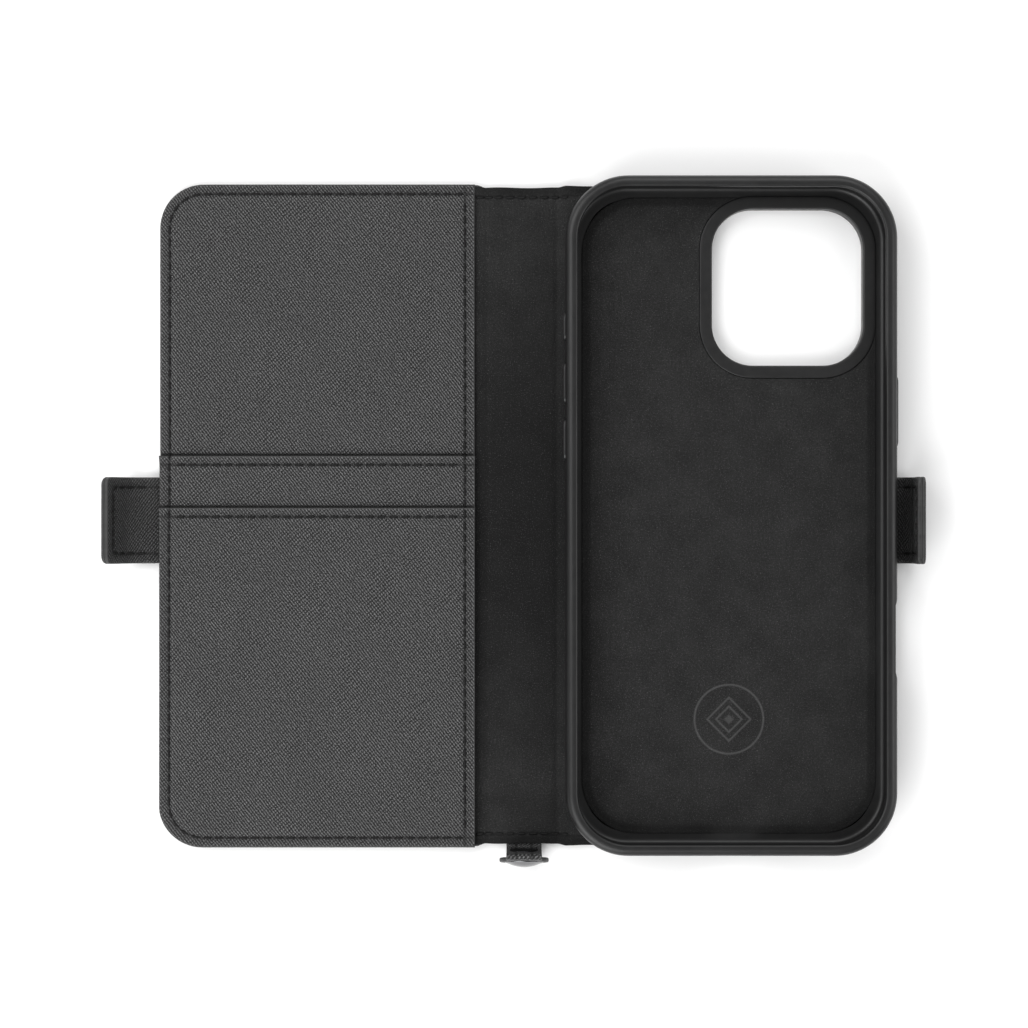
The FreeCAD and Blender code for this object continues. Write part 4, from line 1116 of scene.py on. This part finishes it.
def make_tray(plastic):
    """The moulded wall: a bowed side, a rounded rim, an inner lip and a floor ledge."""
    base, top = TRAY_BASE, SHELL_HIGH[2]
    profile = [(-5.0, base), (-3.2, base)]
    profile += arc((-3.3, base + 3.3), 3.3, -80, 0, 9)
    profile += [(0.0, base + 4.6), (0.0, base + 6.2), (0.0, top - 3.2)]
    profile += arc((-1.9, top - 1.9), 1.9, 0, 78, 9)
    profile += [(-1.95, top - 0.005), (-2.25, top - 0.03)]
    profile += arc((-2.35, top - 0.62), 0.6, 80, 150, 4)
    profile += [(-3.0, top - 0.7), (-3.02, top - 0.95), (-2.95, top - 1.15)]
    profile += [(-2.7, top - 1.3), (-2.2, top - 1.5), (-1.97, top - 1.9)]
    profile += [(-1.95, top - 3.0), (-1.95, FLOOR_TOP + 1.6)]
    profile += arc((-3.1, FLOOR_TOP + 1.15), 1.15, 0, -90, 5)
    profile += [(-3.6, FLOOR_TOP), (-5.0, FLOOR_TOP)]
    obj = swept_outline("phone_tray", tray_outline, profile, [plastic])
    half = TRAY_W / 2
    cutters = []
    for node, side in KEYS:
        low, high = corners(node)
        centre = (low[1] + high[1]) / 2
        length = high[1] - low[1] - KEY_HIDDEN
        cutters.append(wall_cutter(side, centre, length + 0.4, 3.8, half - 3.2, half + 1))
        cutters.append(wall_cutter(side, centre, length + 2.0, 5.4, half - 3.2, half - 0.95))
    cutters.append(wall_cutter(1, CAMERA_KEY_Y, *CAMERA_KEY_SLOT, half - 4, half + 1))
    cutters.append(wall_cutter(1, CAMERA_KEY_Y, *CAMERA_KEY_RECESS, half - 0.55, half + 1))
    end = TRAY_L / 2
    cutters.append(end_cutter(0, *PORT_SLOT, end - 4, end + 1))
    cutters.append(end_cutter(0, *PORT_RECESS, end - 0.5, end + 1))
    for side in (-1, 1):
        cutters.append(end_cutter(side * GRILLE_X, *GRILLE_SLOT, end - 4, end + 1))
    cut(obj, *cutters)
    shade_by_angle(obj, 38)
    fit(obj, "back", ["shell_frame"])


def make_keys(plastic):
    """Pill keys with a crowned face, a soft edge and a hidden flange."""
    for node, side in KEYS:
        low, high = corners(node)
        centre = (low[1] + high[1]) / 2
        length = high[1] - low[1] - KEY_HIDDEN
        inner = TRAY_W / 2 - 1.55
        face = TRAY_W / 2 + 0.6

        def frame_of(points, side=side):
            return np.column_stack([points[:, 2] * side, points[:, 0], points[:, 1]])

        def outline(grow, centre=centre, length=length):
            return stadium((centre, KEY_LEVEL), length, 3.4, grow)

        profile = [(0.55, inner), (0.6, inner + 0.05), (0.6, inner + 0.45), (0.55, inner + 0.5)]
        profile += [(0.02, inner + 0.5), (0, inner + 0.55), (0, face - 0.4)]
        profile += arc((-0.36, face - 0.38), 0.36, 10, 75, 5)
        profile += [(-0.6, face - 0.008), (-1.0, face + 0.015), (-1.4, face + 0.025)]
        obj = swept_outline(node + "_key", outline, profile, [plastic], False, frame_of)
        shade_by_angle(obj, 40)
        bodies = frame["record"]["behaviour"]["bodies"]
        body = next(name for name, nodes in bodies.items() if node in nodes)
        fit(obj, body, [node])


def make_camera_surround(plastic):
    """The smooth moulded ring round the camera window, with its collar through the back."""
    top = PAD_HIGH[2]
    base = TRAY_BASE
    foot = SHELL_LOW[2]

    def outline(grow):
        return rounded_outline((WINDOW_X, WINDOW_Y), WINDOW_W, WINDOW_L, WINDOW_R, grow, 18, 16)

    profile = [(0.0, foot + 0.35)]
    profile += arc((0.3, foot + 0.3), 0.3, 190, 260, 4)
    profile += [(0.8, foot), (1.1, foot + 0.08), (1.2, foot + 0.25), (1.2, base)]
    profile += [(3.15, base), (3.15, top - 0.3)]
    profile += arc((2.87, top - 0.28), 0.28, 5, 85, 4)
    profile += [(2.4, top + 0.01), (1.5, top + 0.02), (0.7, top)]
    profile += arc((0.4, top - 0.4), 0.4, 95, 175, 5)
    obj = swept_outline("camera_surround", outline, profile, [plastic])
    shade_by_angle(obj, 50)
    fit(obj, "back", [])


EMBLEM_Y = -50.9


def emblem(x, y):
    """A sunk ring with two nested diamond outlines and a small solid one inside it."""
    radius = np.hypot(x, y - EMBLEM_Y)
    sunk = 0.15 * np.exp(-((radius - 8.6) / 0.24) ** 4)
    diamond = np.abs(x) + np.abs(y - EMBLEM_Y)
    for size, line in ((5.4, 0.34), (3.2, 0.34)):
        sunk = np.maximum(sunk, 0.11 * np.exp(-((diamond - size) / line) ** 4))
    sunk = np.maximum(sunk, 0.10 * np.exp(-(diamond / 1.25) ** 6))
    return sunk


def make_tray_pad(nap):
    """The suede pad on the tray's floor, pressed along its border, with a sunk emblem."""
    x_lines = graded(PAD_LOW[0], PAD_HIGH[0], True, True, 1.6, [(0, 10, 0.14)])
    y_lines = graded(PAD_LOW[1], PAD_HIGH[1], True, True, 1.6, [(EMBLEM_Y, 10, 0.14)])

    def top(x, y, inset):
        border = 0.12 * (1 - ease(inset, 1.6, 2.4))
        swell = ripple(x, y, 0.05, 3.1)
        return PAD_HIGH[2] + swell - border - rounding(inset, 0.3) - emblem(x, y)

    def bottom(x, y, inset):
        return np.full(x.shape, PAD_LOW[2] + 0.01) + rounding(inset, 0.1)

    def no_seams(x, y, inset):
        return np.full(x.shape, 9.0)

    def emblem_mark(x, y):
        return np.clip(emblem(x, y) / 0.12, 0, 1)

    obj = slab("tray_suede_pad", x_lines, y_lines, [13.6] * 4, [True] * 4, top, bottom, [nap],
               seams=no_seams, marks=emblem_mark)
    cut(obj, window_cutter(PAD_WINDOW, 0, 9))
    fit(obj, "back", ["shell_lining"])
    lay(["phone_tray"])


# ------------------------------------------------------------------ closing tabs


class Curl:
    """The bent sheet of a closing tab: a run, a bend and a straight end, in the XZ plane."""

    def __init__(self, axis, side, run, bend, angle, end):
        self.axis, self.side = axis, side
        self.run, self.bend, self.angle, self.end = run, bend, math.radians(angle), end
        self.length = run + bend * self.angle + end

    def __call__(self, distance, height):
        """Points in X and Z from distances along the tab and heights off its middle."""
        arc_length = self.bend * self.angle
        slope = np.clip((distance - self.run) / self.bend, 0, self.angle)
        rest = np.clip(distance - self.run - arc_length, 0, None)
        flat = np.minimum(distance, self.run)
        along = flat + self.bend * np.sin(slope) + rest * np.cos(slope)
        up = self.bend * (1 - np.cos(slope)) + rest * np.sin(slope)
        along = along - height * np.sin(slope)
        up = up + height * np.cos(slope)
        return self.axis[0] + self.side * along, self.axis[2] + up, slope


TABS = (
    ("front_tab", "front_cover", Curl(pivot("front_tab_fold"), -1, 2.0, 7.0, 62.0, 6.4)),
    ("rear_tab", "back", Curl(pivot("rear_tab_fold"), 1, 1.6, 3.3, 90.0, 8.5)),
)
TAB_START = -3.2
TAB_HALF = 1.08


def make_tab(name, parent, curl, leather, edge, material):
    """Two leathers glued and sewn round a magnet, bending at the root."""
    low, high = corners(name + "_outer")
    middle, width = (low[1] + high[1]) / 2, high[1] - low[1]
    tip = curl.length

    def place(points):
        x, z, _ = curl(points[:, 0], points[:, 2])
        return np.column_stack([x, points[:, 1] + middle, z])

    s_lines = graded(TAB_START, tip, False, True, 0.7)
    y_lines = graded(-width / 2, width / 2, True, True, 1.2)
    split = 0.12

    def upper_face(x, y, inset):
        bulge = 0.10 * ease(inset, 2.6, 5.0) * ease(x, 1, 5)
        tuck = 0.30 * (1 - ease(x, -1.6, 0.6))
        return (TAB_HALF - 0.12 + bulge - tuck - groove(inset - STITCH_INSET, 0.16)
                - rounding(inset, 0.3))

    def lower_face(x, y, inset):
        tuck = 0.30 * (1 - ease(x, -1.6, 0.6))
        return -TAB_HALF + 0.03 + tuck + groove(inset - STITCH_INSET, 0.16) + rounding(inset, 0.3)

    def seam_high(x, y, inset):
        return -split - rounding(inset, 0.22)

    def seam_low(x, y, inset):
        return -split + rounding(inset, 0.22)

    axis = pivot(name + "_fold")
    reach = 1.3
    start = (axis[0] - curl.side * reach, 0, axis[2])
    end = (axis[0] + curl.side * reach, 0, axis[2])
    radii = [0, 2.0, 2.0, 0]
    soft = [False, True, True, True]
    for part, nodes, top, bottom in (
        ("outer_leather", [name + "_outer"], seam_high, lower_face),
        ("inner_leather", [name + "_inner"], upper_face, seam_low),
    ):
        obj = slab(name + "_" + part, s_lines, y_lines, radii, soft, top, bottom,
                   [leather, edge], place)
        fit(obj, parent, nodes, (name, start, end))
        lay(nodes)
    sew_tab(name, curl, middle, width, upper_face, lower_face, material)


def sew_tab(name, curl, middle, width, upper_face, lower_face, material):
    """A U-shaped seam on both faces of a tab."""
    inset = STITCH_INSET
    half = width / 2 - inset
    last = curl.length - inset
    corner = 1.6
    first = 1.9
    s = np.concatenate([np.linspace(first, last - corner, 12),
                        last - corner + corner * np.sin(np.linspace(0.2, math.pi / 2, 5)),
                        np.full(9, last)])
    y = np.concatenate([np.full(12, half),
                        half - corner * (1 - np.cos(np.linspace(0.2, math.pi / 2, 5))),
                        np.linspace(half - corner - 0.8, 0, 9)])
    s = np.concatenate([s, s[-2::-1]])
    y = np.concatenate([y, -y[-2::-1]])
    runs = []
    for face, sign in ((upper_face, 1), (lower_face, -1)):
        height = face(s, y, np.full(s.shape, inset))
        x, z, slope = curl(s, height)
        points = np.column_stack([x, y + middle, z])
        normals = np.column_stack([-curl.side * np.sin(slope), 0 * s, np.cos(slope)]) * sign
        clear_of_table = s > (0 if sign > 0 else curl.run + 1.6)
        runs.append((points[clear_of_table], normals[clear_of_table]))
    obj = stitches(name + "_thread", runs, material, pitch=2.9)
    fit(obj, name, [name + "_stitching"])


# --------------------------------------------------------------------- snap loop

LOOP_ROOT = pivot("loop_fold")
LOOP_CREST = pivot("loop_unsnap")
LOOP_SHEET = 0.7
LOOP_HALF = LOOP_SHEET / 2
LOOP_WIDTH = STRAP_HIGH[0] - STRAP_LOW[0]
FLAP_SPLAY = math.radians(10.5)
SNAP_LEVEL = 6.7
SNAP_TO_TIP = 6.1
STRAP_LENGTH = 7.5      # along the loop, up to where the flap's leather takes over
LOOP_SEAM_START, LOOP_SEAM_PAST_STRAP = 3.6, 3.2
LOOP_SEAM_INSET = 1.3


class LoopPath:
    """Centre line of the loop's strap in the YZ plane, as short straight steps."""

    def __init__(self):
        root_y, crest_y = LOOP_ROOT[1], LOOP_CREST[1]
        leg_y = root_y - LOOP_HALF
        turn = 1.05
        points = [(root_y + 3.4, 1.0), (root_y + 1.6, 1.0), (leg_y + turn, 1.0)]
        for step in range(1, 9):
            angle = math.pi / 2 * step / 8
            points.append((leg_y + turn * (1 - math.sin(angle)), 1.0 + turn * (1 - math.cos(angle))))
        top = LOOP_CREST[2] - 0.35
        points += [(leg_y, z) for z in np.linspace(2.6, top, 12)]
        out = np.array([-math.cos(FLAP_SPLAY), math.sin(FLAP_SPLAY)])
        down = np.array([-math.sin(FLAP_SPLAY), -math.cos(FLAP_SPLAY)])
        crest = np.array([crest_y, LOOP_CREST[2]])
        flap_start = crest + out * LOOP_HALF + down * 0.35
        centre = np.array([(leg_y + flap_start[0]) / 2, top])
        half_gap = (leg_y - flap_start[0]) / 2
        for step in range(1, 10):
            angle = math.pi * step / 10
            points.append((centre[0] + half_gap * math.cos(angle),
                           centre[1] + (half_gap + 0.15) * math.sin(angle)))
        reach = (LOOP_CREST[2] - SNAP_LEVEL) / math.cos(FLAP_SPLAY)
        tip = crest + out * LOOP_HALF + down * (reach + SNAP_TO_TIP)
        points += [tuple(flap_start + (tip - flap_start) * f) for f in np.linspace(0, 1, 22)]
        self.points = np.array(points)
        gaps = np.linalg.norm(np.diff(self.points, axis=0), axis=1)
        self.along = np.concatenate([[0], np.cumsum(gaps)])
        self.length = self.along[-1]
        self.snap_at = self.length - SNAP_TO_TIP

    def __call__(self, distance, height):
        y = np.interp(distance, self.along, self.points[:, 0])
        z = np.interp(distance, self.along, self.points[:, 1])
        ahead_y = np.interp(distance + 0.3, self.along, self.points[:, 0])
        ahead_z = np.interp(distance + 0.3, self.along, self.points[:, 1])
        back_y = np.interp(distance - 0.3, self.along, self.points[:, 0])
        back_z = np.interp(distance - 0.3, self.along, self.points[:, 1])
        dy, dz = ahead_y - back_y, ahead_z - back_z
        size = np.maximum(np.hypot(dy, dz), 1e-6)
        return y + height * dz / size, z - height * dy / size


def make_loop(leather, edge, material):
    """The strap stands at the spine's foot, folds over and ends in a round snap flap."""
    path = LoopPath()
    middle = (STRAP_LOW[0] + STRAP_HIGH[0]) / 2
    half = LOOP_WIDTH / 2
    disc = (FLAP_HIGH[0] - FLAP_LOW[0]) / 2

    def half_width(distance):
        """Half the strap's width, swelling to the flap's round end."""
        from_snap = distance - path.snap_at
        round_half = np.sqrt(np.clip(disc ** 2 - from_snap ** 2, 0.02, None))
        swell = half + 0.9 * np.exp(-((from_snap + disc) / 1.6) ** 2)
        near = distance > path.snap_at - math.sqrt(disc ** 2 - half ** 2)
        return np.where(near, np.maximum(round_half, 0.15), np.minimum(swell, half))

    def sheet_piece(name, low, high, soft_high):
        edge_round = 0.40 if soft_high else 0.24
        lines = graded(low, high, False, soft_high, 0.45)
        cross = graded(-1, 1, False, False, 0.08)
        edges = np.array([-1, -0.985, -0.96, -0.92, 0.92, 0.96, 0.985, 1])
        cross = np.unique(np.concatenate([cross, edges]))

        def squeeze(x, y):
            return x, y * half_width(x)

        def side_inset(x, y):
            return np.minimum(half_width(x) - np.abs(y), np.where(soft_high, high - x + 0.02, 9))

        def puff(x, y):
            """The flap's leather swells round the press of the snap's cap."""
            radius = np.hypot(x - path.snap_at, y)
            return 0.30 * ease(radius, 4.5, 5.3) * ease(x, path.snap_at - 6.5, path.snap_at - 3)

        def top(x, y, inset):
            return LOOP_HALF + 0.5 * puff(x, y) - rounding(inset, edge_round)

        def bottom(x, y, inset):
            return -LOOP_HALF - puff(x, y) + rounding(inset, edge_round)

        def place(points):
            y, z = path(points[:, 0], -points[:, 2])
            return np.column_stack([points[:, 1] + middle, y, z])

        return slab(name, lines, cross, [0] * 4, [False] * 4, top, bottom, [leather, edge],
                    place, squeeze, inset_of=side_inset)

    strap = sheet_piece("loop_strap_leather", 0.0, STRAP_LENGTH, False)
    root = LOOP_ROOT
    fit(strap, "spine", ["loop_strap"],
        ("loop", (root[0], root[1] + 1.0, root[2]), (root[0], root[1] - 0.4, root[2] + 1.6)))
    flap = sheet_piece("loop_flap_leather", STRAP_LENGTH, path.length, True)
    crest = LOOP_CREST
    fit(flap, "loop", ["loop_flap"],
        ("loop_flap", tuple(crest), (crest[0], crest[1] - 0.16, crest[2])))
    lay(["loop_strap_leather"])
    sew_loop(path, half, middle, material)
    make_snap()


def sew_loop(path, half, middle, material):
    """Two rows of fine stitches up the standing strap."""
    s = np.linspace(LOOP_SEAM_START, STRAP_LENGTH + LOOP_SEAM_PAST_STRAP, 14)
    runs = []
    for side in (-1, 1):
        for face in (-1, 1):
            y, z = path(s, np.full(s.shape, face * LOOP_HALF))
            points = np.column_stack([np.full(s.shape, middle + side * (half - LOOP_SEAM_INSET)), y, z])
            ahead = np.gradient(y), np.gradient(z)
            size = np.hypot(*ahead)
            normals = np.column_stack([0 * s, ahead[1] / size, -ahead[0] / size]) * face
            runs.append((points, normals))
    obj = stitches("loop_thread", runs, material, width=0.36, length=1.6, rise=0.1, pitch=2.4)
    fit(obj, "loop", [])


def lathe(name, profile, base, direction, material, steps=48):
    """Turns a profile of (radius, height) round a direction."""
    direction = np.array(direction, float)
    direction /= np.linalg.norm(direction)
    side = np.array([1.0, 0, 0])
    other = np.cross(direction, side)
    points, faces = [], []
    for radius, height in profile:
        for step in range(steps):
            angle = 2 * math.pi * step / steps
            spoke = side * math.cos(angle) + other * math.sin(angle)
            points.append(np.array(base) + direction * height + spoke * radius)
    for row in range(len(profile) - 1):
        for step in range(steps):
            after = (step + 1) % steps
            here, there = row * steps, (row + 1) * steps
            faces.append((here + step, here + after, there + after, there + step))
    faces.append(tuple(range(steps))[::-1])
    faces.append(tuple(range((len(profile) - 1) * steps, len(profile) * steps)))
    obj = weld(as_object(name, points, faces, None, None, [material]), 0.001)
    return shade_by_angle(obj, 45)


def make_snap():
    """The press snap: a crowned cap with a rolled rim, a socket and a stud."""
    metal = polished_metal()
    outward = (0, -math.cos(FLAP_SPLAY), math.sin(FLAP_SPLAY))
    reach = (LOOP_CREST[2] - SNAP_LEVEL) / math.cos(FLAP_SPLAY)
    down = np.array([0, -math.sin(FLAP_SPLAY), -math.cos(FLAP_SPLAY)])
    inner = np.array([LOOP_CREST[0], LOOP_CREST[1], LOOP_CREST[2]]) + down * reach
    face = inner + np.array(outward) * LOOP_SHEET
    cap = [(4.3, -0.08), (4.68, 0.0), (4.8, 0.14), (4.78, 0.30), (4.6, 0.44), (4.42, 0.50)]
    cap += [(4.25, 0.53)]
    for step in range(1, 11):
        radius = 4.25 * (1 - step / 10.5)
        cap.append((radius, 0.53 + 0.95 * (1 - (radius / 4.25) ** 2)))
    obj = lathe("snap_cap_dome", cap, face, outward, metal)
    fit(obj, "loop_flap", ["snap_cap"])
    socket = [(2.1, 0.0), (2.1, -0.45), (2.3, -0.55), (2.7, -0.55), (2.85, -0.42), (2.95, -0.22),
              (3.15, -0.16), (3.2, -0.06), (3.2, 0.02), (2.1, 0.02)]
    obj = lathe("snap_socket_ring", socket, inner, outward, metal)
    fit(obj, "loop_flap", ["snap_socket"])
    behind = np.array([LOOP_ROOT[0], LOOP_ROOT[1] + 0.3, SNAP_LEVEL])
    stud = [(0.6, 0.02), (3.1, 0.0), (3.5, 0.06), (3.6, 0.18), (3.55, 0.3), (1.4, 0.32),
            (1.35, 1.05), (1.5, 1.2), (1.5, 1.36), (1.3, 1.48), (0.5, 1.5)]
    obj = lathe("snap_stud_rivet", stud, behind, (0, -1, 0), metal)
    fit(obj, "loop", ["snap_stud"])


# ------------------------------------------------------------- carried-over CAD


def dress_hidden_nodes():
    """Boards and magnets keep their CAD shapes and get real materials."""
    board = fibre_board()
    plate = polished_metal("magnet_steel", 0.6, 0.3)
    for node, material in (
        ("cover_board", board), ("back_board", board),
        ("front_tab_magnet", plate), ("rear_tab_magnet", plate),
    ):
        mesh = frame["nodes"][node].data
        mesh.materials.clear()
        mesh.materials.append(material)


# ------------------------------------------------------------------------ stage


def make_stage():
    """A pale floor, soft lights and the camera straight above the open case."""
    floor = Nodes("stage_floor")
    place = floor.rest_map()
    cloud = floor.noise(place, 0.004, 2.0)
    floor.set(Base_Color=floor.grey(floor.ramp(cloud, 0.3, 0.7, 0.90, 0.92)), Roughness=0.9)
    reach = 3000.0
    corners_mm = [(-reach, -reach, 0), (reach, -reach, 0), (reach, reach, 0), (-reach, reach, 0)]
    obj = as_object("studio_floor", np.array(corners_mm), [(0, 1, 2, 3)], None, None,
                    [floor.material])

    world = bpy.data.worlds.new("studio")
    world.use_nodes = True
    world.node_tree.nodes["Background"].inputs[0].default_value = (1.0, 1.0, 1.0, 1.0)
    world.node_tree.nodes["Background"].inputs[1].default_value = WORLD_LIGHT
    bpy.context.scene.world = world

    target = Vector((-0.05, 0, 0))
    lights = (
        ("key_light", (-0.40, -0.62, 0.56), 7.5),
        ("side_light", (-0.66, 0.34, 0.66), 5.5),
        ("head_light", (0.15, 0.85, 0.70), 4.6),
        ("right_light", (0.85, -0.10, 0.60), 4.2),
    )
    for name, place_m, power in lights:
        data = bpy.data.lights.new(name, "AREA")
        data.energy = power
        data.size = LAMP_SIZE
        lamp = bpy.data.objects.new(name, data)
        lamp.location = place_m
        lamp.rotation_euler = (target - Vector(place_m)).to_track_quat("-Z", "Y").to_euler()
        bpy.context.scene.collection.objects.link(lamp)

    camera = bpy.data.cameras.new("camera")
    camera.sensor_width = 36.0
    camera.lens = camera.sensor_width * CAMERA_HEIGHT / WIDTH_COVERED
    camera.clip_start = 0.01
    camera.clip_end = 20.0
    eye = bpy.data.objects.new("camera", camera)
    eye.location = (CAMERA_X, CAMERA_Y, CAMERA_HEIGHT)
    bpy.context.scene.collection.objects.link(eye)
    bpy.context.scene.camera = eye
    bpy.context.scene.view_settings.view_transform = "Standard"


def build():
    """Makes every visible piece."""
    leather = cross_grain_leather()
    edge = painted_edge()
    nap = suede()
    plastic = moulded_plastic()
    key_plastic = moulded_plastic("key_plastic", 0.010, 0.28, 0.40)
    black = thread()
    make_skin(leather, edge)
    make_suede(suede("spine_suede_painted_shade", 0.011, True))
    make_panel(leather, edge)
    make_card_pocket("upper_pocket_leather", "card_pocket_upper", (UPPER_LOW, UPPER_HIGH),
                     upper_top, "cover_panel_leather", leather, edge)
    make_card_pocket("lower_pocket_leather", "card_pocket_lower", (LOWER_LOW, LOWER_HIGH),
                     lower_top, "upper_pocket_leather", leather, edge)
    sew_cover(black)
    sew_spine_and_outside(black)
    make_tray(plastic)
    make_keys(key_plastic)
    make_camera_surround(plastic)
    make_tray_pad(nap)
    # The tabs get a darker copy of the leather: painted shade, as they curl away from the light.
    tab_leather_painted_shade = cross_grain_leather("tab_leather_painted_shade", gain=0.55)
    for name, parent, curl in TABS:
        make_tab(name, parent, curl, tab_leather_painted_shade, edge, black)
    make_loop(leather, edge, black)
    dress_hidden_nodes()
    make_stage()


build()
